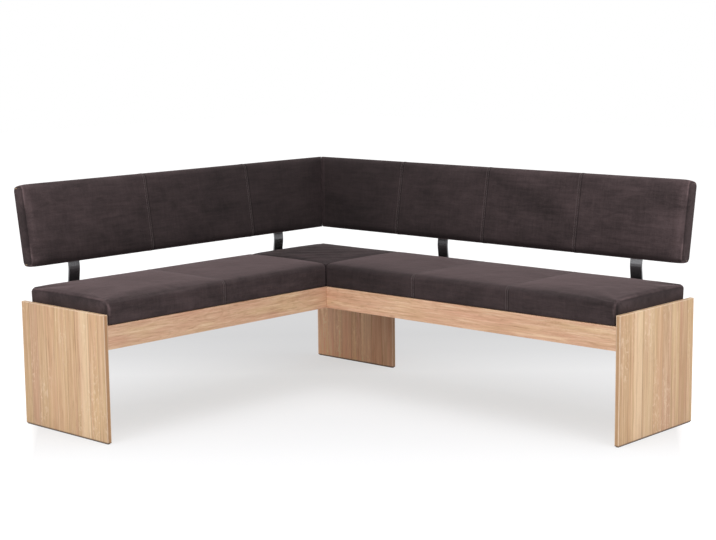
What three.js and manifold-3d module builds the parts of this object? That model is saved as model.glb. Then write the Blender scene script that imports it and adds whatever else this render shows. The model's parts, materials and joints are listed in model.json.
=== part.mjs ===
import * as THREE from 'three';
import { mergeVertices } from 'three/addons/utils/BufferGeometryUtils.js';
import Module from 'manifold-3d';

// Corner bench with two upholstered wings, oak panel legs and reclined backrests on steel brackets.
// Millimetres, +Z up. X runs along the long wing, Y runs from its front to its back.
// The inner corner of the two front aprons lies at X = 0, Y = 0 until the bench is centred.

const wasm = await Module();
wasm.setup();

// Overall plan and heights
const longSeatLength = 1303;
const shortSeatLength = 1050;
const benchDepth = 458;
const legHeight = 440;
const legRise = 38;

// Oak frame
const legThickness = 16;
const frameThickness = 22;
const apronHeight = 81;
const crossRailHeight = 55;
const edgeEase = 1.2;
const longRailShares = [1 / 3, 2 / 3];
const shortRailShares = [1 / 2];

// Corner leg panel, bolted behind the rear rail of the long wing
const cornerLegWidth = 423;
const cornerLegOverhang = 34;

// Felt strips under the leg panels
const feltHeight = 3;
const feltSideInset = 3;
const feltEndInset = 4;

// Seat cushions
const railShow = 26;
const cushionHeight = 91;
const cushionCrown = 6;
const cornerPadHeight = 89;
const cornerPadCrown = 4.5;
const cushionTopRadius = 15;
const cushionSideRadius = 14;
const cushionJointRadius = 7;
const cushionBottomRadius = 4;
const cushionDraw = 2;

// Backrests, which reach past the seats at their free ends
const longBackrestReach = 6;
const shortBackrestReach = 13;
const recline = THREE.MathUtils.degToRad(9);
const backrestHeight = 290;
const backrestThickness = 60;
const backrestForward = 70;
const backrestRise = 125;
const backrestCrown = 3;
const backrestRadius = 12;
const backrestEndRadius = 17;
const backrestRearRadius = 9;
const backrestDraw = 1;
const mitreRadius = 3.5;

// Upholstery make-up
const coverThickness = 4;
const flangeThickness = 2;
const flangeWidth = 28;
const seatBoardThickness = 12;
const backBoardThickness = 15;
const rearPanelThickness = 3;
const rearPanelInset = 9;
const seamDepth = 2.2;
const seamHalfWidth = 5;
const seamCrownShare = 0.55;

// Flat steel brackets
const bracketWidth = 47.5;
const bracketThickness = 6;
const bracketCornerRadius = 8;
const bracketBendRadius = 14;
const bracketFootRise = 13.5;
const bracketUpright = 16.5;
const bracketKneeDrop = 31;
const bracketTopShare = 0.53;
const longInnerBracket = 205;
const longOuterBracket = 1090;
const shortInnerBracket = -191;
const shortOuterBracket = 840;

// Screws and bolts
const headRadius = 6.5;
const headHeight = 3.2;
const headEdge = 1;
const shankRadius = 3;
const tipLength = 3;
const holeFloor = 3;
const tipGap = 1.6;
const boardBiteShare = 0.6;
const railScrewShares = [0.37, 0.76];
const backScrewShares = [0.18, 0.44];
const cornerBoltShares = [0.27, 0.74];
const cornerBoltInset = 58;

// Fits and cutting
const clearance = 0.3;
const fillingGap = 0.6;
const seatGap = 1;
const mitreGap = 0.5;
const overrun = 10;

// Facet counts
const roundSides = 10;
const bendSteps = 3;
const cornerSteps = 3;
const bandShares = [0, 0.45, 1];
const plainBandShares = [0, 1];
const crownShares = [0.14, 0.5, 0.86];
const plainShares = [0.5];

// Derived levels
const frameTop = legHeight - legRise;
const apronBottom = frameTop - apronHeight;
const cushionBottom = frameTop + clearance;
const cushionDepth = benchDepth - railShow;
const rearFace = benchDepth + clearance;
const backrestSetback = benchDepth - backrestForward;
const backrestClearHeight = legHeight + backrestRise;
const coverBlockThickness = backrestThickness - rearPanelThickness - clearance;
const boardBase = flangeThickness + fillingGap;
const screwSeat = clearance + bracketThickness + clearance;
const railBite = frameThickness - holeFloor - tipGap;
const railScrewLength = screwSeat + railBite;
const cornerBoltLength = legThickness + clearance + clearance + railBite;
const backScrewLength = screwSeat + rearPanelThickness + clearance + boardBase
  + boardBiteShare * backBoardThickness;
const onRail = (share) => apronBottom + share * apronHeight;

const oak = new THREE.MeshStandardMaterial({ color: 0xd4b28e, roughness: 0.6, metalness: 0 });
const plywood = new THREE.MeshStandardMaterial({ color: 0xc9ab7c, roughness: 0.8, metalness: 0 });
const foam = new THREE.MeshStandardMaterial({ color: 0xe0d6b4, roughness: 1, metalness: 0 });
const fabric = new THREE.MeshStandardMaterial({ color: 0x463c3c, roughness: 0.95, metalness: 0 });
const steel = new THREE.MeshStandardMaterial({ color: 0x1f1e1f, roughness: 0.5, metalness: 0.8 });
const felt = new THREE.MeshStandardMaterial({ color: 0x35302d, roughness: 1, metalness: 0 });

// Solids: closed geometry in, closed geometry out

function solid(geometry) {
  const bare = geometry.clone();
  bare.deleteAttribute('normal');
  bare.deleteAttribute('uv');
  const merged = mergeVertices(bare);
  return new wasm.Manifold(new wasm.Mesh({
    numProp: 3,
    vertProperties: new Float32Array(merged.attributes.position.array),
    triVerts: new Uint32Array(merged.index.array),
  }));
}

function geometryOf(manifold) {
  const mesh = manifold.getMesh();
  const geometry = new THREE.BufferGeometry();
  geometry.setAttribute('position', new THREE.BufferAttribute(new Float32Array(mesh.vertProperties), 3));
  geometry.setIndex(Array.from(mesh.triVerts));
  geometry.computeVertexNormals();
  return geometry;
}

function piece(name, geometry, material) {
  const mesh = new THREE.Mesh(geometry, material);
  mesh.name = name;
  return mesh;
}

// A box from the origin whose grid lines lie at the given stations on each axis
function gridBox(xs, ys, zs) {
  const geometry = new THREE.BoxGeometry(1, 1, 1, xs.length - 1, ys.length - 1, zs.length - 1);
  const position = geometry.attributes.position;
  const half = 0.5;
  for (let i = 0; i < position.count; i++) {
    const pick = (list, share) => list[Math.round((share + half) * (list.length - 1))];
    position.setXYZ(i, pick(xs, position.getX(i)), pick(ys, position.getY(i)), pick(zs, position.getZ(i)));
  }
  return geometry;
}

// Pulls the faces of a grid box in to rounded edges and passes each point's outward direction on
function roundEdges(geometry, low, high, lowRadii, highRadii, shape) {
  const position = geometry.attributes.position;
  for (let i = 0; i < position.count; i++) {
    const point = new THREE.Vector3().fromBufferAttribute(position, i);
    const core = new THREE.Vector3();
    const outward = new THREE.Vector3();
    for (const axis of ['x', 'y', 'z']) {
      const inner = low[axis] + lowRadii[axis];
      const outer = high[axis] - highRadii[axis];
      core[axis] = THREE.MathUtils.clamp(point[axis], inner, outer);
      const radius = point[axis] < inner ? lowRadii[axis] : highRadii[axis];
      outward[axis] = (point[axis] - core[axis]) / radius;
    }
    outward.normalize();
    for (const axis of ['x', 'y', 'z']) {
      const radius = outward[axis] < 0 ? lowRadii[axis] : highRadii[axis];
      point[axis] = core[axis] + outward[axis] * radius;
    }
    if (shape) shape(point, outward);
    position.setXYZ(i, point.x, point.y, point.z);
  }
  return geometry;
}

// A sawn board with slightly eased edges, standing from its low corner
function easedBoard(width, depth, height) {
  const lines = (size) => [0, edgeEase, size - edgeEase, size];
  const ease = new THREE.Vector3(edgeEase, edgeEase, edgeEase);
  const geometry = gridBox(lines(width), lines(depth), lines(height));
  return roundEdges(geometry, new THREE.Vector3(), new THREE.Vector3(width, depth, height), ease, ease);
}

function boxBetween(x0, x1, y0, y1, z0, z1) {
  const geometry = new THREE.BoxGeometry(x1 - x0, y1 - y0, z1 - z0);
  return geometry.translate((x0 + x1) / 2, (y0 + y1) / 2, (z0 + z1) / 2);
}

function boardBetween(x0, x1, y0, y1, z0, z1) {
  return easedBoard(x1 - x0, y1 - y0, z1 - z0).translate(x0, y0, z0);
}

// A drill along +Y from a point, or along the normal of a reclined face
function drill(radius, length, x, y, z, tilt = 0) {
  const geometry = new THREE.CylinderGeometry(radius, radius, length, roundSides);
  geometry.translate(0, length / 2, 0);
  geometry.rotateX(tilt);
  return geometry.translate(x, y, z);
}

function cut(geometry, tools) {
  let body = solid(geometry);
  for (const tool of tools) body = body.subtract(solid(tool));
  return geometryOf(body);
}

// Soft forms: crowned panels between sewn channels, rounded edges and drawn-in sides

function edgeStations(size, lowRadius, highRadius, bands, middle) {
  const low = bands.map((share) => share * lowRadius);
  const high = bands.map((share) => size - share * highRadius).reverse();
  return [...low, ...middle, ...high];
}

function lengthStations(length, lowRadius, highRadius, seams, bands) {
  const stops = [lowRadius, ...seams.flatMap((seam) => [seam - seamHalfWidth, seam + seamHalfWidth])];
  stops.push(length - highRadius);
  const middle = [];
  for (let i = 0; i < stops.length; i += 2) {
    const width = stops[i + 1] - stops[i];
    if (i > 0) middle.push(stops[i] - seamHalfWidth, stops[i]);
    middle.push(...crownShares.map((share) => stops[i] + share * width));
    if (i + 2 < stops.length) middle.push(stops[i + 1]);
  }
  return edgeStations(length, lowRadius, highRadius, bands, middle);
}

function panelShare(x, length, seams) {
  const stops = [0, ...seams, length];
  const right = Math.max(1, stops.findIndex((stop) => stop >= x));
  return (x - stops[right - 1]) / (stops[right] - stops[right - 1]);
}

const dome = (share) => Math.max(0, 1 - (2 * share - 1) ** 2);

// The outer form of a cushion lying flat: its padded face is +Z and its length runs along X
function cushionForm(spec, inset, fine) {
  const { length, depth, height, seams, crown, draw, radii } = spec;
  const trim = (radius) => Math.max(radius - inset, edgeEase);
  const lowRadii = new THREE.Vector3(trim(radii.start), trim(radii.side), trim(radii.bottom));
  const highRadii = new THREE.Vector3(trim(radii.end), trim(radii.side), trim(radii.top));
  const base = fine ? 0 : flangeThickness + inset - coverThickness;
  const size = { x: length - 2 * inset, y: depth - 2 * inset, z: height - base - inset };
  const bands = fine ? bandShares : plainBandShares;
  const middle = (fine ? crownShares : plainShares).map((share) => share * size.y);
  const lines = fine ? seams : [];
  const xs = lengthStations(size.x, lowRadii.x, highRadii.x, lines, bands);
  const ys = edgeStations(size.y, lowRadii.y, highRadii.y, bands, middle);
  const zs = edgeStations(size.z, lowRadii.z, highRadii.z, bands, [size.z / 2]);
  const shape = (point, outward) => {
    const share = panelShare(point.x, size.x, lines);
    const across = Math.sqrt(dome(point.y / size.y));
    const along = seamCrownShare + (1 - seamCrownShare) * Math.sqrt(dome(share));
    const level = 1 - point.z / size.z;
    const tuck = draw * level * level;
    const nearest = Math.min(...lines.map((line) => Math.abs(point.x - line)), seamHalfWidth);
    const groove = seamDepth * (1 - nearest / seamHalfWidth) * (1 - Math.max(0, -outward.z));
    point.z += crown * across * along * Math.max(0, outward.z);
    point.x += tuck * (1 - 2 * point.x / size.x);
    point.y += tuck * (1 - 2 * point.y / size.y);
    point.addScaledVector(outward, -groove);
  };
  const grid = gridBox(xs, ys, zs);
  const form = roundEdges(grid, new THREE.Vector3(), new THREE.Vector3(size.x, size.y, size.z),
    lowRadii, highRadii, shape);
  return form.translate(inset, inset, base);
}

// The cover is open underneath, with a folded flange all round
function cushionCover(spec) {
  const { length, depth } = spec;
  const cavity = cushionForm(spec, coverThickness, false);
  const mouth = boxBetween(flangeWidth, length - flangeWidth, flangeWidth, depth - flangeWidth,
    -overrun, coverThickness);
  return cut(cushionForm(spec, 0, true), [cavity, mouth]);
}

// A layer of the filling: the inside of the cover between two levels
function layer(spec, low, high) {
  const block = solid(cushionForm(spec, coverThickness + fillingGap, false));
  const slab = boxBetween(-overrun, spec.length + overrun, -overrun, spec.depth + overrun, low, high);
  return geometryOf(block.intersect(solid(slab)));
}

function cushionBoard(spec, thickness) {
  return layer(spec, boardBase, boardBase + thickness);
}

// The foam fills the cover above the board
function cushionFoam(spec, thickness) {
  return layer(spec, boardBase + thickness + clearance, spec.height + spec.crown);
}

// A seat cushion is round at its free sides and fuller where it meets its neighbour
function seatSpec(length, depth, height, crown, seams, start, end, side) {
  const radii = { start, end, side, top: cushionTopRadius, bottom: cushionBottomRadius };
  return { length, depth, height, seams, crown, draw: cushionDraw, radii };
}

function seat(name, spec) {
  const group = new THREE.Group();
  group.add(piece(`seat_cover_${name}`, cushionCover(spec), fabric));
  group.add(piece(`seat_foam_${name}`, cushionFoam(spec, seatBoardThickness), foam));
  group.add(piece(`seat_board_${name}`, cushionBoard(spec, seatBoardThickness), plywood));
  return group;
}

// Fasteners

function screwGeometry(length) {
  const profile = [
    new THREE.Vector2(0, -headHeight),
    new THREE.Vector2(headRadius - headEdge, -headHeight),
    new THREE.Vector2(headRadius, headEdge - headHeight),
    new THREE.Vector2(headRadius, 0),
    new THREE.Vector2(shankRadius, 0),
    new THREE.Vector2(shankRadius, length - tipLength),
    new THREE.Vector2(0, length),
  ];
  return new THREE.LatheGeometry(profile, roundSides);
}

// A screw driven along -Y from the back, seated on a face that may recline
function screw(name, length, x, y, z, tilt = 0) {
  const mesh = piece(name, screwGeometry(length), steel);
  mesh.rotation.x = Math.PI + tilt;
  mesh.position.set(x, y, z);
  return mesh;
}

// Backrest placement: a point given along the slope and into the thickness, as depth and height

function onBackrest(slope, inward) {
  return {
    y: backrestSetback + slope * Math.sin(recline) + inward * Math.cos(recline),
    z: backrestClearHeight + slope * Math.cos(recline) - inward * Math.sin(recline),
  };
}

// The mitre shears the first panel so that its end lies in the upright plane at 45 degrees
function mitreShear(geometry, firstPanel) {
  const position = geometry.attributes.position;
  for (let i = 0; i < position.count; i++) {
    const x = position.getX(i);
    const place = onBackrest(position.getY(i), coverBlockThickness - position.getZ(i));
    const fade = THREE.MathUtils.clamp(1 - x / firstPanel, 0, 1);
    position.setX(i, x - firstPanel + (mitreGap + backrestSetback - place.y) * fade);
  }
  return geometry;
}

function backrestSpec(freeEnd, seamPlaces) {
  const seams = [0, ...seamPlaces].map((place) => place + backrestSetback);
  const radii = {
    start: mitreRadius,
    end: backrestEndRadius,
    side: backrestRadius,
    top: backrestRadius,
    bottom: backrestRearRadius,
  };
  return {
    length: backrestSetback + freeEnd,
    depth: backrestHeight,
    height: coverBlockThickness,
    seams,
    crown: backrestCrown,
    draw: backrestDraw,
    radii,
  };
}

function rearPanel(spec) {
  const inset = rearPanelInset;
  const lengthLines = [inset, backrestSetback, spec.length - inset];
  return gridBox(lengthLines, [inset, spec.depth - inset], [-clearance - rearPanelThickness, -clearance]);
}

// Local frame of a wing: X along it, with its free end on the given side, and Y to the back
function wingMap(geometry, side) {
  if (side > 0) return geometry;
  geometry.scale(-1, 1, 1);
  const index = geometry.index;
  for (let i = 0; i < index.count; i += 3) {
    const first = index.getX(i);
    index.setX(i, index.getX(i + 1));
    index.setX(i + 1, first);
  }
  return geometry;
}

// The block lies flat with its padded face up, then is raised so that the face looks forward
function raise(geometry) {
  geometry.rotateX(Math.PI / 2);
  geometry.translate(0, coverBlockThickness, 0);
  geometry.rotateX(-recline);
  return geometry.translate(0, backrestSetback, backrestClearHeight);
}

function backrest(wing) {
  const { name, side, backrestEnd, seamPlaces, brackets } = wing;
  const spec = backrestSpec(backrestEnd, seamPlaces);
  const stand = (geometry) => raise(mitreShear(geometry, backrestSetback));
  const drills = brackets.flatMap((place) => backScrewShares.map((share) => {
    const seatPoint = onBackrest(share * backrestHeight, backrestThickness + overrun);
    return drill(shankRadius + clearance, backBoardThickness + overrun * 2 + rearPanelThickness,
      place, seatPoint.y, seatPoint.z, Math.PI - recline);
  }));
  const group = new THREE.Group();
  const add = (label, geometry, material, tools) => {
    const body = tools.length ? cut(stand(geometry), tools) : stand(geometry);
    group.add(piece(`backrest_${label}_${name}`, wingMap(body, side), material));
  };
  add('cover', cushionCover(spec), fabric, []);
  add('foam', cushionFoam(spec, backBoardThickness), foam, []);
  add('board', cushionBoard(spec, backBoardThickness), plywood, drills);
  add('rear_panel', rearPanel(spec), fabric, drills);
  return group;
}

// Brackets: flat bar, upright on the rear rail, leaning forward to the backrest and back along it

function bracketCentreLine() {
  const half = bracketThickness / 2;
  const offset = backrestThickness + clearance + half;
  const kneeSlope = (offset * Math.sin(recline) - bracketKneeDrop) / Math.cos(recline);
  const knee = onBackrest(kneeSlope, offset);
  const top = onBackrest(bracketTopShare * backrestHeight, offset);
  return [
    new THREE.Vector2(rearFace + half, apronBottom + bracketFootRise),
    new THREE.Vector2(rearFace + half, frameTop + bracketUpright),
    new THREE.Vector2(knee.y, knee.z),
    new THREE.Vector2(top.y, top.z),
  ];
}

// Points along a bent line with an easy radius at each inner corner
function bentLine(corners) {
  const points = [corners[0]];
  for (let i = 1; i < corners.length - 1; i++) {
    const toward = corners[i - 1].clone().sub(corners[i]).setLength(bracketBendRadius);
    const away = corners[i + 1].clone().sub(corners[i]).setLength(bracketBendRadius);
    const curve = new THREE.QuadraticBezierCurve(corners[i].clone().add(toward), corners[i],
      corners[i].clone().add(away));
    points.push(...curve.getPoints(bendSteps));
  }
  return [...points, corners[corners.length - 1]];
}

function stripOutline(points, thickness) {
  const sideOf = (sign) => points.map((point, i) => {
    const before = points[Math.max(0, i - 1)];
    const after = points[Math.min(points.length - 1, i + 1)];
    const along = after.clone().sub(before).normalize();
    return new THREE.Vector2(-along.y, along.x).multiplyScalar(sign * thickness / 2).add(point);
  });
  return new THREE.Shape([...sideOf(1), ...sideOf(-1).reverse()]);
}

function roundedOutline(width, height, radius) {
  const outline = new THREE.Shape();
  outline.moveTo(-width / 2, radius);
  outline.absarc(-width / 2 + radius, radius, radius, Math.PI, Math.PI * 3 / 2, false);
  outline.absarc(width / 2 - radius, radius, radius, -Math.PI / 2, 0, false);
  outline.absarc(width / 2 - radius, height - radius, radius, 0, Math.PI / 2, false);
  outline.absarc(-width / 2 + radius, height - radius, radius, Math.PI / 2, Math.PI, false);
  return outline;
}

// A rounded slab that leaves only the wanted ends of the bar
function endMask(height) {
  const outline = roundedOutline(bracketWidth, height, bracketCornerRadius);
  const options = { depth: benchDepth, bevelEnabled: false, curveSegments: cornerSteps };
  const slab = new THREE.ExtrudeGeometry(outline, options);
  slab.rotateX(Math.PI / 2);
  return slab.translate(0, benchDepth, 0);
}

function bracketGeometry() {
  const corners = bracketCentreLine();
  const outline = stripOutline(bentLine(corners), bracketThickness);
  const bar = new THREE.ExtrudeGeometry(outline, { depth: bracketWidth, bevelEnabled: false });
  bar.translate(0, 0, -bracketWidth / 2);
  bar.applyMatrix4(new THREE.Matrix4().makeBasis(
    new THREE.Vector3(0, 1, 0), new THREE.Vector3(0, 0, 1), new THREE.Vector3(1, 0, 0)));
  const [foot, , knee, top] = corners;
  const lowerMask = endMask(knee.y - foot.y).translate(0, foot.x - benchDepth / 2, foot.y);
  const upperLength = top.distanceTo(knee) * 2;
  const upperMask = endMask(upperLength).translate(0, -benchDepth / 2, -upperLength);
  upperMask.rotateX(-recline);
  upperMask.translate(0, top.x, top.y);
  let body = solid(bar).intersect(solid(lowerMask).add(solid(upperMask)));
  const holeRadius = shankRadius + clearance;
  const depth = bracketThickness + overrun * 2;
  for (const share of railScrewShares) {
    body = body.subtract(solid(drill(holeRadius, depth, 0, rearFace - overrun, onRail(share))));
  }
  for (const share of backScrewShares) {
    const start = onBackrest(share * backrestHeight, backrestThickness - overrun);
    body = body.subtract(solid(drill(holeRadius, depth, 0, start.y, start.z, -recline)));
  }
  return geometryOf(body);
}

function bracketSet(wing) {
  const { name, side, brackets } = wing;
  const group = new THREE.Group();
  brackets.forEach((place, number) => {
    const label = `${name}_${number + 1}`;
    const bracket = piece(`bracket_${label}`, bracketGeometry(), steel);
    bracket.position.x = side * place;
    group.add(bracket);
    railScrewShares.forEach((share, row) => {
      group.add(screw(`rail_screw_${label}${'ab'[row]}`, railScrewLength,
        side * place, benchDepth + screwSeat, onRail(share)));
    });
    backScrewShares.forEach((share, row) => {
      const seatPoint = onBackrest(share * backrestHeight, backrestThickness + screwSeat);
      group.add(screw(`back_screw_${label}${'ab'[row]}`, backScrewLength,
        side * place, seatPoint.y, seatPoint.z, -recline));
    });
  });
  return group;
}

// Oak frame

function legPanel(wing) {
  const { name, side, seatLength } = wing;
  const panel = easedBoard(legThickness, benchDepth, legHeight - feltHeight);
  const inner = side > 0 ? seatLength : -seatLength - legThickness;
  return piece(`leg_panel_${name}_end`, panel.translate(inner, 0, feltHeight), oak);
}

function feltStrip(name, x0, x1, y0, y1) {
  return piece(name, boxBetween(x0, x1, y0, y1, 0, feltHeight - clearance), felt);
}

function legFelt(wing) {
  const inner = wing.seatLength + feltSideInset;
  const outer = wing.seatLength + legThickness - feltSideInset;
  const [x0, x1] = span(wing, inner, outer);
  return feltStrip(`felt_strip_${wing.name}_end`, x0, x1, feltEndInset, benchDepth - feltEndInset);
}

// The span of a board between two places counted outward from the inner corner
function span(wing, from, to) {
  return [wing.side * from, wing.side * to].sort((a, b) => a - b);
}

function apron(wing) {
  const [x0, x1] = span(wing, wing.apronStart, wing.seatLength - clearance);
  return piece(`apron_${wing.name}`, boardBetween(x0, x1, 0, frameThickness, apronBottom, frameTop), oak);
}

function rearRail(wing) {
  const [x0, x1] = span(wing, wing.railStart, wing.seatLength - clearance);
  const rail = boardBetween(x0, x1, benchDepth - frameThickness, benchDepth, apronBottom, frameTop);
  const places = wing.brackets.flatMap((place) => (
    railScrewShares.map((share) => [wing.side * place, onRail(share)])));
  if (wing.carriesCornerLeg) places.push(...cornerBoltPlaces());
  const holes = places.map(([x, height]) => drill(shankRadius + clearance,
    frameThickness - holeFloor + overrun, x, benchDepth + overrun, height, Math.PI));
  return piece(`rear_rail_${wing.name}`, cut(rail, holes), oak);
}

// Rails and cleats between apron and rear rail carry the seat boards
function crossMember(name, x0, x1) {
  const front = frameThickness + clearance;
  const back = benchDepth - frameThickness - clearance;
  return piece(name, boxBetween(x0, x1, front, back, frameTop - crossRailHeight, frameTop), oak);
}

function crossMembers(wing) {
  const { name, seatLength, railShares, firstRail } = wing;
  const group = new THREE.Group();
  const add = (label, from, to) => group.add(crossMember(label, ...span(wing, from, to)));
  add(`cross_rail_${name}_corner`, firstRail, firstRail + frameThickness);
  railShares.forEach((share, number) => {
    const middle = share * seatLength;
    add(`cross_rail_${name}_${number + 1}`, middle - frameThickness / 2, middle + frameThickness / 2);
  });
  add(`end_cleat_${name}`, seatLength - clearance - frameThickness, seatLength - clearance);
  return group;
}

// Corner leg

const cornerLegLeft = -benchDepth - cornerLegOverhang;

function cornerBoltPlaces() {
  const columns = [cornerLegLeft + cornerBoltInset, cornerLegLeft + cornerLegWidth - cornerBoltInset];
  return columns.flatMap((x) => cornerBoltShares.map((share) => [x, onRail(share)]));
}

function cornerLeg() {
  const group = new THREE.Group();
  const right = cornerLegLeft + cornerLegWidth;
  const back = rearFace + legThickness;
  const panel = boardBetween(cornerLegLeft, right, rearFace, back, feltHeight, frameTop);
  const holes = cornerBoltPlaces().map(([x, height]) => (
    drill(shankRadius + clearance, legThickness + overrun * 2, x, rearFace - overrun, height)));
  group.add(piece('leg_panel_corner', cut(panel, holes), oak));
  group.add(feltStrip('felt_strip_corner', cornerLegLeft + feltEndInset, right - feltEndInset,
    rearFace + feltSideInset, back - feltSideInset));
  cornerBoltPlaces().forEach(([x, height], number) => {
    group.add(screw(`corner_bolt_${number + 1}`, cornerBoltLength, x, back + clearance, height));
  });
  return group;
}

// Wings

function wingSeat(wing) {
  const length = wing.seatLength - seatGap * 2;
  const fromLeft = (place) => (wing.side > 0 ? place - seatGap : wing.seatLength - seatGap - place);
  const seams = wing.seamPlaces.map(fromLeft).sort((a, b) => a - b);
  const [start, end] = wing.side > 0
    ? [cushionJointRadius, cushionSideRadius]
    : [cushionSideRadius, cushionJointRadius];
  const spec = seatSpec(length, cushionDepth, cushionHeight, cushionCrown, seams, start, end,
    cushionSideRadius);
  const group = seat(wing.name, spec);
  const left = wing.side > 0 ? seatGap : seatGap - wing.seatLength;
  group.position.set(left, 0, cushionBottom);
  return group;
}

function wing(settings) {
  const group = new THREE.Group();
  group.add(legPanel(settings), legFelt(settings), apron(settings), rearRail(settings));
  group.add(crossMembers(settings), wingSeat(settings), backrest(settings), bracketSet(settings));
  return group;
}

function cornerPad() {
  const side = cushionDepth - seatGap;
  const group = seat('corner', seatSpec(side, side, cornerPadHeight, cornerPadCrown, [],
    cushionJointRadius, cushionJointRadius, cushionJointRadius));
  group.position.set(-cushionDepth, seatGap, cushionBottom);
  return group;
}

const longWing = {
  name: 'long',
  side: 1,
  seatLength: longSeatLength,
  backrestEnd: longSeatLength + longBackrestReach,
  seamPlaces: longRailShares.map((share) => share * longSeatLength),
  railShares: longRailShares,
  brackets: [longInnerBracket, longOuterBracket],
  apronStart: clearance,
  railStart: -benchDepth,
  firstRail: clearance,
  carriesCornerLeg: true,
};

const shortWing = {
  name: 'short',
  side: -1,
  seatLength: shortSeatLength,
  backrestEnd: shortSeatLength + shortBackrestReach,
  seamPlaces: shortRailShares.map((share) => share * shortSeatLength),
  railShares: shortRailShares,
  brackets: [shortInnerBracket, shortOuterBracket],
  apronStart: frameThickness + clearance - benchDepth,
  railStart: frameThickness + clearance - benchDepth,
  firstRail: -frameThickness / 2,
  carriesCornerLeg: false,
};

function cornerBench() {
  const bench = new THREE.Group();
  const turned = wing(shortWing);
  turned.rotation.z = Math.PI / 2;
  bench.add(wing(longWing), turned, cornerPad(), cornerLeg());
  return bench;
}

// The bench stands on Z = 0, centred on its plan
function centred(bench) {
  bench.updateMatrixWorld(true);
  const middle = new THREE.Box3().setFromObject(bench, true).getCenter(new THREE.Vector3());
  bench.position.set(-middle.x, -middle.y, 0);
  return bench;
}

export default centred(cornerBench());
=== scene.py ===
"""Corner bench: oak panel legs and aprons, two upholstered wings, a corner pad and two reclined backrests.

Metres, Z up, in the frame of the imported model. A wing has its own frame: X along the seat from the inner
corner of the bench, Y from the front of the seat to its back, Z up. A cushion is shaped lying flat with its
padded face up, then put in its place in the wing, and the wing in its place in the bench.
"""
import json
import logging
import math
from dataclasses import dataclass
from enum import Enum
from typing import Callable, Iterable, Sequence

import bpy
import numpy as np
from mathutils import Matrix, Vector
from mathutils.bvhtree import BVHTree

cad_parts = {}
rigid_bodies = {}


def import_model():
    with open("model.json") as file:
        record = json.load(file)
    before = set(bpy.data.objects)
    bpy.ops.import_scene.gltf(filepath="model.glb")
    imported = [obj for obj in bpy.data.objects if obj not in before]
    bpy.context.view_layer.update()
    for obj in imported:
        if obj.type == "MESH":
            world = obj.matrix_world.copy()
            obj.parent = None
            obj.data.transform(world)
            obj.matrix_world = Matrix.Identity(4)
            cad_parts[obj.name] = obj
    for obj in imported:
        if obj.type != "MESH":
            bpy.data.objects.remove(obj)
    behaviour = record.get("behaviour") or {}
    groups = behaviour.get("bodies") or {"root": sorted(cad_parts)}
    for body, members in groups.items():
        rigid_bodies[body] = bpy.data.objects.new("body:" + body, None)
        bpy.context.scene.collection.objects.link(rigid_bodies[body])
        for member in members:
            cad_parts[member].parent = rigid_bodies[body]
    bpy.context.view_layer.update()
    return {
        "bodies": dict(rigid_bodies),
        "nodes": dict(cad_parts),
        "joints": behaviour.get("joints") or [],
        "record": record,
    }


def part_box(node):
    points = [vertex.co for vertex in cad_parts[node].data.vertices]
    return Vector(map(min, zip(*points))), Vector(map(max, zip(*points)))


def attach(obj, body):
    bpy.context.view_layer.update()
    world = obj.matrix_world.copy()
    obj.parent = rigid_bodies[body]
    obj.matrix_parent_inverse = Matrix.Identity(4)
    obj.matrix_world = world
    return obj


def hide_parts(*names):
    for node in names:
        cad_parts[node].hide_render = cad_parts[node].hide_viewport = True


log = logging.getLogger("corner_bench")

ROOT = "root"

Points = np.ndarray
Place = tuple[float, float, float]
Colour = tuple[float, float, float, float]
Placer = Callable[[Points], Points]
Piece = bpy.types.Object
Output = bpy.types.NodeSocket

# Plan of the bench
INNER_CORNER = (-0.4135, 0.28739)
LONG_SEAT = 1.303
SHORT_SEAT = 1.050
SEAT_DEPTH = 0.432
SEAT_HEIGHT = 0.091
PAD_HEIGHT = 0.089
BENCH_DEPTH = 0.458

# Backrests
RECLINE = math.radians(9.0)
BACKREST_SETBACK = 0.388
BACKREST_BASE = 0.565
BACKREST_HEIGHT = 0.290
BLOCK_THICKNESS = 0.0567
MITRE_GAP = 0.0003

# Make-up of a cushion
FLANGE_WIDTH = 0.028
FLANGE_THICKNESS = 0.002
SEAT_BOARD = 0.012
BACK_BOARD = 0.015
BOARD_GAP = 0.0006
BOARD_INSET = 0.0042
BOARD_CORNER = 0.010

# Lines of a cushion's mesh: across a rounded edge in shares of its radius, beside a seam, and between
EDGE_BANDS = (0.0, 0.16, 0.34, 0.52, 0.74, 1.0)
SEAM_BANDS = (-0.016, -0.007, -0.0028, 0.0, 0.0022, 0.0064, 0.0112, 0.0145, 0.020)
LINE_PITCH = 0.0145

# Swelling of the covers
CLOTH_FRAMES = 20
PRESSURE = 0.45
SWELL_CAP = 0.008
SIDE_CLEARANCE = 0.0003
TOP_CLEARANCE = 0.003

# Stitches
STITCH_ROWS = (0.0036, 0.0118)
STITCH_SPACING = 0.0040
STITCH_SIZE = (0.0019, 0.00045, 0.00040)


def srgb(red: int, green: int, blue: int) -> Colour:
    """Turn a screen colour into a linear one.

    Args:
        red: Red, 0 to 255.
        green: Green, 0 to 255.
        blue: Blue, 0 to 255.

    Returns:
        The linear colour with full alpha.
    """
    def linear(value: float) -> float:
        """Give the linear share of one screen value."""
        share = value / 255
        return share / 12.92 if share <= 0.04045 else ((share + 0.055) / 1.055) ** 2.4

    return (linear(red), linear(green), linear(blue), 1.0)


def grey(level: float) -> Colour:
    """Give a linear grey."""
    return (level, level, level, 1.0)


def rising(value: np.ndarray, start: float, width: float) -> np.ndarray:
    """Give 0 up to a start, 1 from some width after it, and an even rise between."""
    return np.clip((value - start) / width, 0, 1)


def bow(share: np.ndarray) -> np.ndarray:
    """Give a bow over a span: 0 at both its ends and 1 in its middle."""
    return np.clip(1 - (2 * share - 1) ** 2, 0, 1)


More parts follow.
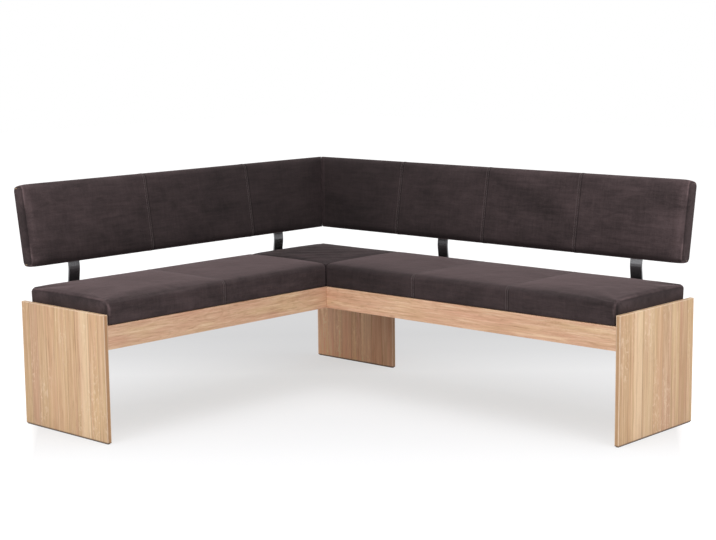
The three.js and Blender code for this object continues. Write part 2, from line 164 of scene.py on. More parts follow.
@dataclass(frozen=True)
class Ridge:
    """A soft ridge beside a line: where its middle lies, its half width, and how much it adds."""

    middle: float
    width: float
    amount: float

    def at(self, gap: np.ndarray) -> np.ndarray:
        """Give what it adds at each distance from the line."""
        return self.amount * np.exp(-((gap - self.middle) / self.width) ** 2)


# Mesh work


def deselect_all() -> None:
    """Leave nothing selected and nothing active."""
    for item in bpy.context.selected_objects:
        item.select_set(False)
    bpy.context.view_layer.objects.active = None


def activate(piece: Piece) -> None:
    """Make a piece the only one selected, and active."""
    deselect_all()
    piece.select_set(True)
    bpy.context.view_layer.objects.active = piece


def rows(items: bpy.types.bpy_prop_collection, name: str, width: int, whole: bool = False) -> np.ndarray:
    """Read a property of points, edges or faces.

    Args:
        items: The points, edges or faces of a mesh.
        name: Name of the property.
        width: How many numbers each of them has.
        whole: Whether these are whole numbers.

    Returns:
        One row for each.
    """
    flat = np.empty(len(items) * width, np.int32 if whole else np.float32)
    items.foreach_get(name, flat)
    return flat.reshape(-1, width).astype(int if whole else float)


def coordinates(piece: Piece) -> Points:
    """Read the corner points of a mesh."""
    return rows(piece.data.vertices, "co", 3)


def point_normals(piece: Piece) -> Points:
    """Read the direction in which the surface faces at each point."""
    return rows(piece.data.vertex_normals, "vector", 3)


def edge_ends(piece: Piece) -> np.ndarray:
    """Read the two ends of each edge, as edges by ends by axes."""
    return coordinates(piece)[rows(piece.data.edges, "vertices", 2, True)]


def move_points(piece: Piece, points: Points) -> None:
    """Write the corner points of a mesh."""
    piece.data.vertices.foreach_set("co", points.astype(np.float32).ravel())
    piece.data.update()


def remember(piece: Piece, name: str, values: np.ndarray) -> None:
    """Keep a number or a place at each point of a mesh.

    Args:
        piece: The piece.
        name: Name of the attribute.
        values: One number or one row of three for each point.
    """
    kind, key = ("FLOAT", "value") if values.ndim == 1 else ("FLOAT_VECTOR", "vector")
    attribute = piece.data.attributes.new(name, kind, "POINT")
    attribute.data.foreach_set(key, values.astype(np.float32).ravel())


def apply_modifiers(piece: Piece) -> None:
    """Apply every modifier of a piece in its order."""
    activate(piece)
    for modifier in list(piece.modifiers):
        bpy.ops.object.modifier_apply(modifier=modifier.name)


def select_in(piece: Piece, kind: str, chosen: np.ndarray) -> None:
    """Select faces, edges or points by a mask and go into edit mode.

    Args:
        piece: The mesh object.
        kind: "VERT", "EDGE" or "FACE".
        chosen: One truth value for each element of that kind.
    """
    activate(piece)
    elements = {"VERT": piece.data.vertices, "EDGE": piece.data.edges, "FACE": piece.data.polygons}
    for items in elements.values():
        items.foreach_set("select", np.zeros(len(items), bool))
    elements[kind].foreach_set("select", chosen)
    bpy.context.tool_settings.mesh_select_mode = tuple(kind == each for each in elements)
    bpy.ops.object.mode_set(mode="EDIT")


def leave_edit() -> None:
    """Go back to object mode."""
    bpy.ops.object.mode_set(mode="OBJECT")


def grid_box(name: str, lines: Sequence[Sequence[float]]) -> Piece:
    """Model a box whose faces are ruled by lines along all three axes.

    Args:
        name: Name of the new piece.
        lines: The places of the lines along X, Y and Z, each from the low side to the high side.

    Returns:
        The box.
    """
    deselect_all()
    bpy.ops.mesh.primitive_cube_add(size=1, location=(0.5, 0.5, 0.5))
    box = bpy.context.active_object
    box.name = box.data.name = name
    bpy.ops.object.transform_apply(location=True, rotation=True, scale=True)
    for axis, places in enumerate(lines):
        if len(places) > 2:
            ends = edge_ends(box)
            select_in(box, "EDGE", np.abs(ends[:, 1] - ends[:, 0])[:, axis] > 0.5)
            bpy.ops.mesh.subdivide(number_cuts=len(places) - 2)
            leave_edit()
    points = coordinates(box)
    for axis, places in enumerate(lines):
        points[:, axis] = np.interp(points[:, axis], np.linspace(0, 1, len(places)), places)
    move_points(box, points)
    return box


def bead(size: Place) -> Piece:
    """Model a short plump thread or wire with rounded ends.

    Args:
        size: Half its size along, across and through.

    Returns:
        The bead, with X along it.
    """
    deselect_all()
    bpy.ops.mesh.primitive_uv_sphere_add(segments=6, ring_count=4, radius=1.0)
    piece = bpy.context.active_object
    move_points(piece, coordinates(piece)[:, [2, 0, 1]] * size)
    return piece


def join_copies(name: str, template: Piece, places: Sequence[Matrix]) -> Piece:
    """Lay copies of a small shape at many places as one piece, and remove the template.

    Args:
        name: Name of the new piece.
        template: The shape, at the origin.
        places: The placement of each copy.

    Returns:
        The piece.
    """
    points = coordinates(template)
    faces = [tuple(face.vertices) for face in template.data.polygons]
    all_points, all_faces = [], []
    for number, place in enumerate(places):
        turn, shift = np.array(place.to_3x3()), np.array(place.translation)
        all_points.append(points @ turn.T + shift)
        first = number * len(points)
        all_faces.extend(tuple(first + corner for corner in face) for face in faces)
    mesh = bpy.data.meshes.new(name)
    mesh.from_pydata(np.concatenate(all_points).tolist(), [], all_faces)
    piece = bpy.data.objects.new(name, mesh)
    bpy.context.scene.collection.objects.link(piece)
    bpy.data.objects.remove(template)
    return piece


def smooth(piece: Piece, angle: float | None = None) -> None:
    """Shade a piece smooth, all over or up to an angle between faces."""
    activate(piece)
    if angle is None:
        bpy.ops.object.shade_smooth()
    else:
        bpy.ops.object.shade_smooth_by_angle(angle=angle)


def turn_faces(piece: Piece) -> None:
    """Turn every face of a mirrored piece round."""
    select_in(piece, "FACE", np.ones(len(piece.data.polygons), bool))
    bpy.ops.mesh.flip_normals()
    leave_edit()


def round_corners(plan: Points, size: np.ndarray, inset: float, radius: float) -> Points:
    """Round the corners of a rectangle.

    Args:
        plan: Points in the rectangle, two numbers to a row.
        size: Length and width of the space round it.
        inset: How far inside that space its sides lie.
        radius: Radius of its corners.

    Returns:
        The points, those near a corner pulled in.
    """
    middle = np.clip(plan, inset + radius, size - inset - radius)
    away = plan - middle
    reach = np.linalg.norm(away, axis=1, keepdims=True)
    return middle + away * np.minimum(1, radius / np.maximum(reach, 1e-9))


def surface_of(piece: Piece) -> BVHTree:
    """Give a search tree of a piece's faces."""
    return BVHTree.FromPolygons([tuple(point) for point in coordinates(piece)],
                                [tuple(face.vertices) for face in piece.data.polygons])


def traced(surface: BVHTree, line: Sequence[Place], steps: int = 5) -> Points:
    """Draw a line of straight stretches onto a surface.

    Args:
        surface: The search tree of the surface.
        line: The corners of the line.
        steps: Parts into which each stretch is divided.

    Returns:
        Points on the surface.
    """
    corners = [Vector(corner) for corner in line]
    spots = [start.lerp(end, step / steps) for start, end in zip(corners, corners[1:]) for step in range(steps)]
    return np.array([tuple(surface.find_nearest(spot)[0]) for spot in spots + corners[-1:]])


def line_distance(points: Points, line: Points) -> tuple[np.ndarray, np.ndarray]:
    """Measure how far points are from a line of straight stretches.

    Args:
        points: One row for each point.
        line: The corners of the line.

    Returns:
        The distances, and how far along the line the nearest place is, from 0 to 1.
    """
    best = np.full(len(points), np.inf)
    share = np.zeros(len(points))
    stretches = len(line) - 1
    for number in range(stretches):
        start, run = line[number], line[number + 1] - line[number]
        along = np.clip((points - start) @ run / (run @ run), 0, 1)
        gap = np.linalg.norm(points - start - along[:, None] * run, axis=1)
        nearer = gap < best
        best = np.where(nearer, gap, best)
        share = np.where(nearer, (number + along) / stretches, share)
    return best, share


# Shader work


class Graph:
    """Adds and links the nodes of one shader tree."""

    def __init__(self, tree: bpy.types.NodeTree) -> None:
        """Take the tree and clear it."""
        self.tree = tree
        tree.nodes.clear()

    def add(self, kind: str, values: dict | None = None, **settings: object) -> bpy.types.Node:
        """Add a node.

        Args:
            kind: Its type, without the leading ShaderNode.
            values: Input names or numbers with their constants or the sockets that feed them.
            **settings: Its own properties.

        Returns:
            The node.
        """
        node = self.tree.nodes.new(kind if kind.startswith("Node") else "ShaderNode" + kind)
        for key, value in settings.items():
            setattr(node, key, value)
        for key, value in (values or {}).items():
            if isinstance(value, Output):
                self.tree.links.new(value, node.inputs[key])
            else:
                node.inputs[key].default_value = value
        return node

    def calc(self, operation: str, *values: object) -> Output:
        """Calculate with one or two numbers.

        Args:
            operation: The operation of the Math node.
            *values: Constants or sockets.

        Returns:
            The result.
        """
        return self.add("Math", dict(enumerate(values)), operation=operation).outputs[0]

    def plus(self, first: object, second: object) -> Output:
        """Add two numbers, constants or sockets."""
        return self.calc("ADD", first, second)

    def times(self, first: object, second: object) -> Output:
        """Multiply two numbers, constants or sockets."""
        return self.calc("MULTIPLY", first, second)

    def highest(self, *values: object) -> Output:
        """Give the highest of some numbers, constants or sockets."""
        best = values[0]
        for value in values[1:]:
            best = self.calc("MAXIMUM", best, value)
        return best

    def vector(self, operation: str, *values: object) -> bpy.types.Node:
        """Calculate with one or two vectors.

        Args:
            operation: The operation of the Vector Math node.
            *values: Constants or sockets.

        Returns:
            The node.
        """
        return self.add("VectorMath", dict(enumerate(values)), operation=operation)

    def parts(self, vector: Output) -> Sequence[Output]:
        """Give the X, Y and Z of a vector."""
        return self.add("SeparateXYZ", {0: vector}).outputs

    def join(self, *values: object) -> Output:
        """Make a vector of its X, Y and Z."""
        return self.add("CombineXYZ", dict(enumerate(values))).outputs[0]

    def shade(self, colour: Output, *levels: object) -> Output:
        """Multiply a colour by one level, or by one for each of its channels."""
        levels = levels * 3 if len(levels) == 1 else levels
        return self.mix(1.0, colour, self.add("CombineColor", dict(enumerate(levels))).outputs[0], "MULTIPLY")

    def mix(self, share: object, first: object, second: object, blend: str = "MIX") -> Output:
        """Mix two colours.

        Args:
            share: How much of the second colour.
            first: Constant or socket.
            second: Constant or socket.
            blend: The way of blending.

        Returns:
            The mixed colour.
        """
        return self.add("Mix", {0: share, 6: first, 7: second}, data_type="RGBA", blend_type=blend).outputs[2]

    def noise(self, place: Output, scale: object, detail: float = 2.0, rough: float = 0.5,
              twist: float = 0.0) -> Output:
        """Add soft noise.

        Args:
            place: The place.
            scale: Waves to the metre, as a number or as a socket, or one number for each axis.
            detail: Octaves.
            rough: How strong each further octave is.
            twist: Distortion.

        Returns:
            The noise value, about 0.5 on average.
        """
        if isinstance(scale, tuple):
            place, scale = self.stretch(place, scale), 1.0
        return self.add("TexNoise", {"Vector": place, "Scale": scale, "Detail": detail,
                                     "Roughness": rough, "Distortion": twist}).outputs["Fac"]

    def stretch(self, place: Output, scale: Place = (1.0, 1.0, 1.0), turn: Place = (0.0, 0.0, 0.0)) -> Output:
        """Stretch and turn a place.

        Args:
            place: The place.
            scale: Factor along each axis.
            turn: Angles in radians.

        Returns:
            The new place.
        """
        return self.add("Mapping", {"Vector": place, "Scale": scale, "Rotation": turn}).outputs[0]

    def span(self, value: Output, low: float, high: float, new_low: float = 0.0, new_high: float = 1.0) -> Output:
        """Map a value from one span to another, and keep it there.

        Args:
            value: The value.
            low: Low end of the old span.
            high: High end of the old span.
            new_low: Low end of the new span.
            new_high: High end of the new span.

        Returns:
            The mapped value.
        """
        return self.add("MapRange", {0: value, 1: low, 2: high, 3: new_low, 4: new_high}).outputs[0]

    def ramp(self, value: Output, stops: dict[float, Colour]) -> Output:
        """Colour a value by stops.

        Args:
            value: The value.
            stops: Places from 0 to 1, each with its colour.

        Returns:
            The colour.
        """
        node = self.add("ValToRGB", {0: value})
        marks = node.color_ramp.elements
        while len(marks) < len(stops):
            marks.new(0.5)
        for mark, (place, colour) in zip(marks, stops.items()):
            mark.position = place
            mark.color = colour
        return node.outputs[0]

    def bump(self, height: Output, distance: float, strength: float) -> Output:
        """Turn a height into a normal.

        Args:
            height: The height.
            distance: Metres for a height of 1.
            strength: Share of the effect.

        Returns:
            The normal.
        """
        return self.add("Bump", {"Height": height, "Distance": distance, "Strength": strength}).outputs[0]

    def use(self, group: bpy.types.NodeTree, place: Output, values: dict) -> bpy.types.Node:
        """Add a node group.

        Args:
            group: The group.
            place: Feeds its place.
            values: Its other inputs.

        Returns:
            The node.
        """
        return self.add("Group", {"Place": place, **values}, node_tree=group)

    def close(self, values: dict) -> None:
        """Add the surface shader and the output of a material.

        Args:
            values: Inputs of the surface shader.
        """
        surface = self.add("BsdfPrincipled", values)
        self.add("OutputMaterial", {"Surface": surface.outputs[0]})


@dataclass(frozen=True)
class Socket:
    """A named input or output of a node group."""

    name: str
    kind: str = "Float"
    value: object = None


def new_group(name: str, inputs: Sequence[Socket], outputs: Sequence[Socket]) -> tuple[Graph, dict]:
    """Start a shader node group whose first input is a place.

    Args:
        name: Name of the group.
        inputs: Its other inputs with their default values.
        outputs: Its outputs.

    Returns:
        The graph, and its input sockets by name.
    """
    tree = bpy.data.node_groups.new(name, "ShaderNodeTree")
    inputs = [Socket("Place", "Vector"), *inputs]
    for side, sockets in (("INPUT", inputs), ("OUTPUT", outputs)):
        for socket in sockets:
            made = tree.interface.new_socket(socket.name, in_out=side, socket_type="NodeSocket" + socket.kind)
            if socket.value is not None:
                made.default_value = socket.value
    graph = Graph(tree)
    entry = graph.add("NodeGroupInput")
    return graph, {socket.name: entry.outputs[socket.name] for socket in inputs}


def close_group(graph: Graph, values: dict[str, Output]) -> bpy.types.NodeTree:
    """Feed the outputs of a node group, and give the group."""
    graph.add("NodeGroupOutput", values)
    return graph.tree


def new_material(name: str) -> tuple[bpy.types.Material, Graph]:
    """Start a material.

    Args:
        name: Name of the material.

    Returns:
        The material and its cleared graph.
    """
    material = bpy.data.materials.new(name)
    material.use_nodes = True
    return material, Graph(material.node_tree)


SURFACE = (Socket("Colour", "Color"), Socket("Roughness"), Socket("Height"))

# Oak: tones of a stave by chance, without and with warmth
COOL_OAK = {0.0: srgb(190, 150, 114), 0.25: srgb(212, 174, 134), 0.5: srgb(221, 187, 144),
            0.75: srgb(204, 166, 132), 1.0: srgb(234, 203, 162)}
WARM_OAK = {0.0: srgb(208, 164, 134), 0.3: srgb(218, 178, 148), 0.6: srgb(212, 170, 141),
            0.85: srgb(205, 164, 136), 1.0: srgb(223, 187, 157)}
PALE_OAK = srgb(236, 205, 168)
PALE_SHARE = 0.80
YEAR_RING = {0.0: grey(0.0), 0.16: grey(0.75), 0.72: grey(1.0), 1.0: grey(0.1)}
YEAR_RINGS = 13.0

# Oak: noises as waves to the metre across, through and along the grain, octaves, roughness and distortion
GRAIN = {
    "figure": ((15.0, 9.0, 1.15), 1.5, 0.45, 0.35),
    "coarse": ((82.0, 60.0, 2.2), 4.0, 0.62, 0.2),
    "streak": ((230.0, 160.0, 4.4), 3.0, 0.62),
    "hue": ((26.0, 18.0, 1.6), 3.0, 0.55),
    "dash": ((150.0, 100.0, 8.0), 3.0, 0.6, 0.2),
    "pores": ((1250.0, 1250.0, 42.0), 2.0, 0.6),
    "flecks": ((110.0, 60.0, 52.0), 3.0, 0.6, 0.6),
    "fleck zone": ((9.0, 9.0, 3.2), 2.0, 0.5),
}

# Oak: tints laid over the stave as noise, the span over which they come in, their share and colour
OAK_TINTS = (
    ("ring", 1.0, 0.0, 0.24, srgb(166, 120, 84)),
    ("hue", 0.50, 0.68, 0.50, srgb(208, 156, 130)),
    ("hue", 0.50, 0.32, 0.36, srgb(212, 186, 138)),
    ("coarse", 0.54, 0.70, 0.46, srgb(166, 122, 90)),
    ("coarse", 0.46, 0.30, 0.42, srgb(242, 214, 178)),
    ("streak", 0.52, 0.70, 0.34, srgb(164, 120, 88)),
    ("streak", 0.48, 0.30, 0.34, srgb(244, 220, 190)),
    ("dash", 0.60, 0.74, 0.42, srgb(156, 106, 76)),
)
FLECK = (0.42, srgb(242, 218, 188))
PORE = (0.42, srgb(120, 86, 56))
GLUE_LINE = (0.40, srgb(132, 90, 62))
# A painted highlight along the arrisses, the own tone of a narrow end face, and a painted shadow along the foot of
# a panel
ARRIS_HIGHLIGHT = (0.34, srgb(246, 226, 204))
END_FACE = (0.70, srgb(176, 132, 92))
FOOT_SHADOW = (0.75, srgb(112, 82, 58))


def cells(graph: Graph, place: Output, randomness: float) -> tuple[Sequence[Output], Output]:
    """Divide a line into cells of uneven length.

    Args:
        graph: The graph.
        place: Place on the line, with cells of 1 on average.
        randomness: How uneven they are.

    Returns:
        Three numbers by chance for each cell, and the distance to its nearer end.
    """
    near, edge = (graph.add("TexVoronoi", {"W": place, "Scale": 1.0, "Randomness": randomness},
                            voronoi_dimensions="1D", feature=kind) for kind in ("F1", "DISTANCE_TO_EDGE"))
    return graph.add("SeparateColor", {0: near.outputs["Color"]}).outputs, edge.outputs["Distance"]


def panel_edges(graph: Graph, given: dict[str, Output]) -> tuple[Output, Output, Output]:
    """Find the edges of an oak panel from the middle and half size of its box.

    Args:
        graph: The graph of the oak group.
        given: The inputs of the group.

    Returns:
        Masks for the painted highlight along each arris, for a narrow end face, and for the painted shadow along
        the foot of the panel.
    """
    offset = graph.vector("SUBTRACT", given["Place"], given["Middle"]).outputs[0]
    distance = graph.vector("ABSOLUTE", offset).outputs[0]
    inside = graph.parts(graph.vector("SUBTRACT", given["Half size"], distance).outputs[0])
    near = [graph.span(inside[axis], 0.0018, 0.0034, 1.0, 0.0) for axis in range(3)]
    arris_highlight = graph.highest(*(graph.times(near[one], near[other]) for one, other in ((0, 1), (1, 2), (0, 2))))
    end_face = graph.times(near[0], graph.span(near[1], 0.0, 1.0, END_FACE[0], 0.0))
    above = graph.parts(graph.vector("ADD", offset, given["Half size"]).outputs[0])
    return arris_highlight, end_face, graph.span(above[2], 0.0028, 0.0046, FOOT_SHADOW[0], 0.0)


def oak_group() -> bpy.types.NodeTree:
    """Build the grain of glued oak staves.

    Returns:
        The node group. Its place has X across the staves, Y through the board and Z along the grain.
    """
    graph, given = new_group("Oak staves", (
        Socket("Stave width", value=0.045), Socket("Stave length", value=6.0), Socket("Seed", value=0.0),
        Socket("Warmth", value=0.0), Socket("Figure", value=1.0), Socket("Tone", value=1.0),
        Socket("Pale start", value=9.0), Socket("Pale end", value=9.0),
        Socket("Middle", "Vector", (0.0, 0.0, 0.0)), Socket("Half size", "Vector", (9.0, 9.0, 9.0))), SURFACE)
    across, through, along = graph.parts(given["Place"])

    # Staves side by side, each of lengths butted end to end
    row_place = graph.plus(graph.calc("DIVIDE", across, given["Stave width"]), given["Seed"])
    row_dice, row_edge = cells(graph, row_place, 0.62)
    butt_place = graph.plus(graph.calc("DIVIDE", along, given["Stave length"]), graph.times(row_dice[1], 23.7))
    butt_dice, butt_edge = cells(graph, butt_place, 0.5)
    tone = graph.calc("FRACT", graph.plus(row_dice[0], butt_dice[1]))
    other = graph.calc("FRACT", graph.plus(row_dice[2], butt_dice[0]))
    offset = graph.join(graph.times(tone, 7.3), graph.times(other, 5.1), graph.times(tone, 3.7))
    short = graph.join(across, through, graph.times(along, given["Figure"]))
    moved = graph.vector("ADD", short, offset).outputs[0]

    # Masks of the grain
    grain = {name: graph.noise(moved, *values) for name, values in GRAIN.items()}
    grain["ring"] = graph.ramp(graph.calc("FRACT", graph.times(grain["figure"], YEAR_RINGS)), YEAR_RING)
    pores = graph.times(graph.span(grain["pores"], 0.60, 0.70), graph.span(grain["ring"], 1.0, 0.25, 0.35, 1.0))
    flecks = graph.times(graph.span(grain["flecks"], 0.52, 0.62), graph.span(grain["fleck zone"], 0.50, 0.62))
    flecks = graph.times(flecks, graph.span(given["Figure"], 1.0, 1.5, 1.0, 0.25))
    pale = graph.times(graph.calc("GREATER_THAN", across, given["Pale start"]),
                       graph.calc("LESS_THAN", across, given["Pale end"]))
    beside_pale = graph.calc("ABSOLUTE", graph.calc("SUBTRACT", across, given["Pale end"]))
    glue = graph.highest(graph.span(row_edge, 0.0, 0.030, 1.0, 0.0), graph.span(butt_edge, 0.0, 0.0012, 1.0, 0.0),
                         graph.span(beside_pale, 0.0005, 0.0035, 0.9, 0.0))
    arris_highlight, end_face, foot_shadow = panel_edges(graph, given)

    # Colours, from the stave's own to the edges of the panel, with a painted highlight on the arrisses and a
    # painted shadow along the foot
    colour = graph.mix(given["Warmth"], graph.ramp(tone, COOL_OAK), graph.ramp(tone, WARM_OAK))
    colour = graph.mix(graph.times(pale, PALE_SHARE), colour, PALE_OAK)
    strength = graph.span(pale, 0.0, 1.0, 1.0, 0.45)
    for name, low, high, share, tint in OAK_TINTS:
        colour = graph.mix(graph.times(graph.span(grain[name], low, high, 0.0, share), strength), colour, tint)
    for mask, (share, tint) in ((flecks, FLECK), (pores, PORE), (glue, GLUE_LINE)):
        colour = graph.mix(graph.times(mask, share), colour, tint)
    colour = graph.mix(end_face, colour, END_FACE[1])
    colour = graph.mix(graph.times(arris_highlight, ARRIS_HIGHLIGHT[0]), colour, ARRIS_HIGHLIGHT[1])
    colour = graph.mix(foot_shadow, colour, FOOT_SHADOW[1])

    sunk = graph.plus(graph.times(pores, 0.6), graph.times(glue, 0.5))
    rough = graph.plus(graph.times(grain["streak"], 0.16), graph.times(pores, 0.12))
    return close_group(graph, {
        "Colour": graph.shade(colour, given["Tone"]),
        "Height": graph.calc("SUBTRACT", graph.times(grain["streak"], 0.35), sunk),
        "Roughness": graph.plus(rough, 0.40),
    })


# Cloth: noises as waves to the metre along and across the cushion and through it, octaves, distortion, strength
NAP = (
    ((3.6, 5.0, 5.0), 3.0, 0.8, 0.52),
    ((11.0, 22.0, 22.0), 3.0, 0.8, 0.36),
    ((8.0, 95.0, 95.0), 3.0, 0.5, 0.28),
    ((80.0, 12.0, 12.0), 3.0, 0.5, 0.16),
    ((50.0, 620.0, 620.0), 2.0, 0.0, 0.20),
    ((620.0, 50.0, 50.0), 2.0, 0.0, 0.16),
)
WRINKLE_WAVES = 11.0
WRINKLE_HEIGHT = 12.0


def nap_group() -> bpy.types.NodeTree:
    """Build the brushed nap of a microfibre cloth.

    Returns:
        The node group. Its place has X along the cushion.
    """
    graph, given = new_group("Brushed nap", (Socket("Base", "Color", (0.06, 0.05, 0.05, 1)),
                                             Socket("Mottle", value=1.0)), SURFACE)
    place = given["Place"]
    lift = 0.0
    for scale, detail, twist, strength in NAP:
        wave = graph.span(graph.noise(place, scale, detail, 0.58, twist), 0.34, 0.66, -0.5, 0.5)
        lift = graph.plus(lift, graph.times(wave, strength))
    level = graph.plus(graph.times(lift, given["Mottle"]), 1.0)
    fleck, fibre = graph.noise(place, 330.0, 3.0, 0.7), graph.noise(place, 2600.0, 2.0, 0.6)
    for wave, strength in ((fleck, 0.26), (fibre, 0.16)):
        level = graph.plus(level, graph.times(graph.span(wave, 0.3, 0.7, -0.5, 0.5), strength))
    height = graph.plus(graph.times(fleck, 0.55), graph.times(fibre, 0.45))
    wrinkle = graph.times(graph.noise(place, WRINKLE_WAVES, 3.0), WRINKLE_HEIGHT)
    return close_group(graph, {
        "Colour": graph.shade(given["Base"], level, graph.times(level, 0.995), graph.times(level, 0.99)),
        "Height": graph.plus(height, wrinkle),
        "Roughness": graph.plus(graph.times(fleck, 0.14), 0.74),
    })


def speckle_group() -> bpy.types.NodeTree:
    """Build a fine speckle for coats of powder, felt and thread.

    Returns:
        The node group.
    """
    graph, given = new_group("Fine speckle", (
        Socket("Dark", "Color"), Socket("Light", "Color"), Socket("Scale", value=900.0)), SURFACE[::2])
    small = graph.noise(given["Place"], given["Scale"], 3.0, 0.65)
    large = graph.noise(given["Place"], 14.0, 3.0, 0.55)
    share = graph.plus(graph.span(small, 0.35, 0.65, 0.0, 0.7), graph.span(large, 0.35, 0.65, 0.0, 0.3))
    return close_group(graph, {"Colour": graph.mix(share, given["Dark"], given["Light"]), "Height": small})


class Grain(Enum):
    """How a board lies: the axis across its staves, the axis through it, and the axis along its grain."""

    ALONG_X = (2, 1, 0)
    ALONG_Y = (2, 0, 1)
    UPRIGHT_FACING_X = (1, 0, 2)
    UPRIGHT_FACING_Y = (0, 1, 2)


@dataclass(frozen=True)
class OakFinish:
    """Matt oiled oak, glued from staves."""

    grain: Grain
    stave_width: float
    seed: float
    warmth: float = 0.0
    figure: float = 1.0
    tone: float = 1.0
    # The tone at the far corner of the panel, for a painted shade gradient from the tone at its near corner
    shaded_far_tone: float | None = None
    pale: tuple[float, float] = (9.0, 9.0)
    panel: tuple[Place, Place] = ((-9.0, -9.0, -9.0), (9.0, 9.0, 9.0))

    def material(self, name: str, group: bpy.types.NodeTree) -> bpy.types.Material:
        """Make the material.

        Args:
            name: Name of the material.
            group: The oak grain.

        Returns:
            The material.
        """
        material, graph = new_material(name)
        parts = graph.parts(graph.add("TexCoord").outputs["Object"])
        axes = self.grain.value
        low, high = (np.array(corner)[list(axes)] for corner in self.panel)
        tone = self.tone
        # A painted gradient of light and shade across the panel, from the tone at its low corner to the shaded far
        # tone
        if self.shaded_far_tone is not None:
            shares = [graph.span(parts[axes[number]], low[number], high[number], 0.0, 0.5) for number in (0, 2)]
            tone = graph.span(graph.plus(*shares), 0.0, 1.0, self.tone, self.shaded_far_tone)
        oak = graph.use(group, graph.join(*(parts[axis] for axis in axes)), {
            "Stave width": self.stave_width, "Seed": self.seed, "Warmth": self.warmth, "Figure": self.figure,
            "Tone": tone, "Pale start": self.pale[0], "Pale end": self.pale[1],
            "Middle": tuple((low + high) / 2), "Half size": tuple((high - low) / 2)})
        graph.close({
            "Base Color": oak.outputs["Colour"],
            "Roughness": oak.outputs["Roughness"],
            "Normal": graph.bump(oak.outputs["Height"], 0.0004, 0.55),
            "Specular IOR Level": 0.32,
        })
        return material


@dataclass(frozen=True)
class ClothFinish:
    """Brown-grey microfibre with a brushed nap."""

    base: Colour
    mottle: float
    sheen: float

    def material(self, name: str, group: bpy.types.NodeTree) -> bpy.types.Material:
        """Make the material.

        Args:
            name: Name of the material.
            group: The brushed nap.

        Returns:
            The material, which reads the place and the painted shade and highlights that each cushion keeps.
        """
        material, graph = new_material(name)
        # The kept factor is painted shade and highlights, which multiplies the cloth's colour
        place, painted_shading = (graph.add("Attribute", attribute_name=kept, attribute_type="GEOMETRY").outputs
                         for kept in ("cloth_place", "nap_and_painted_light"))
        nap_and_painted_light = graph.use(group, place["Vector"], {"Base": self.base, "Mottle": self.mottle})
        graph.close({
            "Base Color": graph.shade(nap_and_painted_light.outputs["Colour"], painted_shading["Fac"]),
            "Roughness": nap_and_painted_light.outputs["Roughness"],
            "Normal": graph.bump(nap_and_painted_light.outputs["Height"], 0.0005, 0.5),
            "Specular IOR Level": 0.18,
            "Sheen Weight": self.sheen,
            "Sheen Roughness": 0.42,
            "Sheen Tint": srgb(206, 178, 180),
        })
        return material


@dataclass(frozen=True)
class SpeckleFinish:
    """A plain surface with a fine speckle: powder coat, felt, thread, staple wire."""

    dark: Colour
    light: Colour
    scale: float
    roughness: float
    metallic: float = 0.0
    depth: float = 0.0001
    sheen: float = 0.0
    specular: float = 0.5

    def material(self, name: str, group: bpy.types.NodeTree) -> bpy.types.Material:
        """Make the material.

        Args:
            name: Name of the material.
            group: The fine speckle.

        Returns:
            The material.
        """
        material, graph = new_material(name)
        speckle = graph.use(group, graph.add("TexCoord").outputs["Object"], {
            "Dark": self.dark, "Light": self.light, "Scale": self.scale})
        height = speckle.outputs["Height"]
        graph.close({
            "Base Color": speckle.outputs["Colour"],
            "Roughness": graph.span(height, 0.3, 0.7, self.roughness - 0.06, self.roughness + 0.06),
            "Metallic": self.metallic,
            "Normal": graph.bump(height, self.depth, 0.7),
            "Specular IOR Level": self.specular,
            "Sheen Weight": self.sheen,
        })
        return material


@dataclass(frozen=True)
class PlywoodFinish:
    """Raw birch plywood with a faint flame in its face."""

    pale: Colour = srgb(224, 197, 152)
    dark: Colour = srgb(196, 164, 116)
    flame: Colour = srgb(170, 132, 86)

    def material(self, name: str) -> bpy.types.Material:
        """Make the material.

        Args:
            name: Name of the material.

        Returns:
            The material.
        """
        material, graph = new_material(name)
        place = graph.add("TexCoord").outputs["Object"]
        streak = graph.noise(place, (5.0, 120.0, 120.0), 4.0, 0.6)
        flame = graph.calc("FRACT", graph.times(graph.noise(place, (1.2, 9.0, 9.0), 2.0, 0.5, 0.8), 9.0))
        colour = graph.ramp(streak, {0.25: self.pale, 0.75: self.dark})
        graph.close({
            "Base Color": graph.mix(graph.span(flame, 0.8, 1.0, 0.0, 0.3), colour, self.flame),
            "Roughness": graph.span(streak, 0.2, 0.8, 0.6, 0.75),
            "Normal": graph.bump(streak, 0.0003, 0.4),
            "Specular IOR Level": 0.3,
        })
        return material


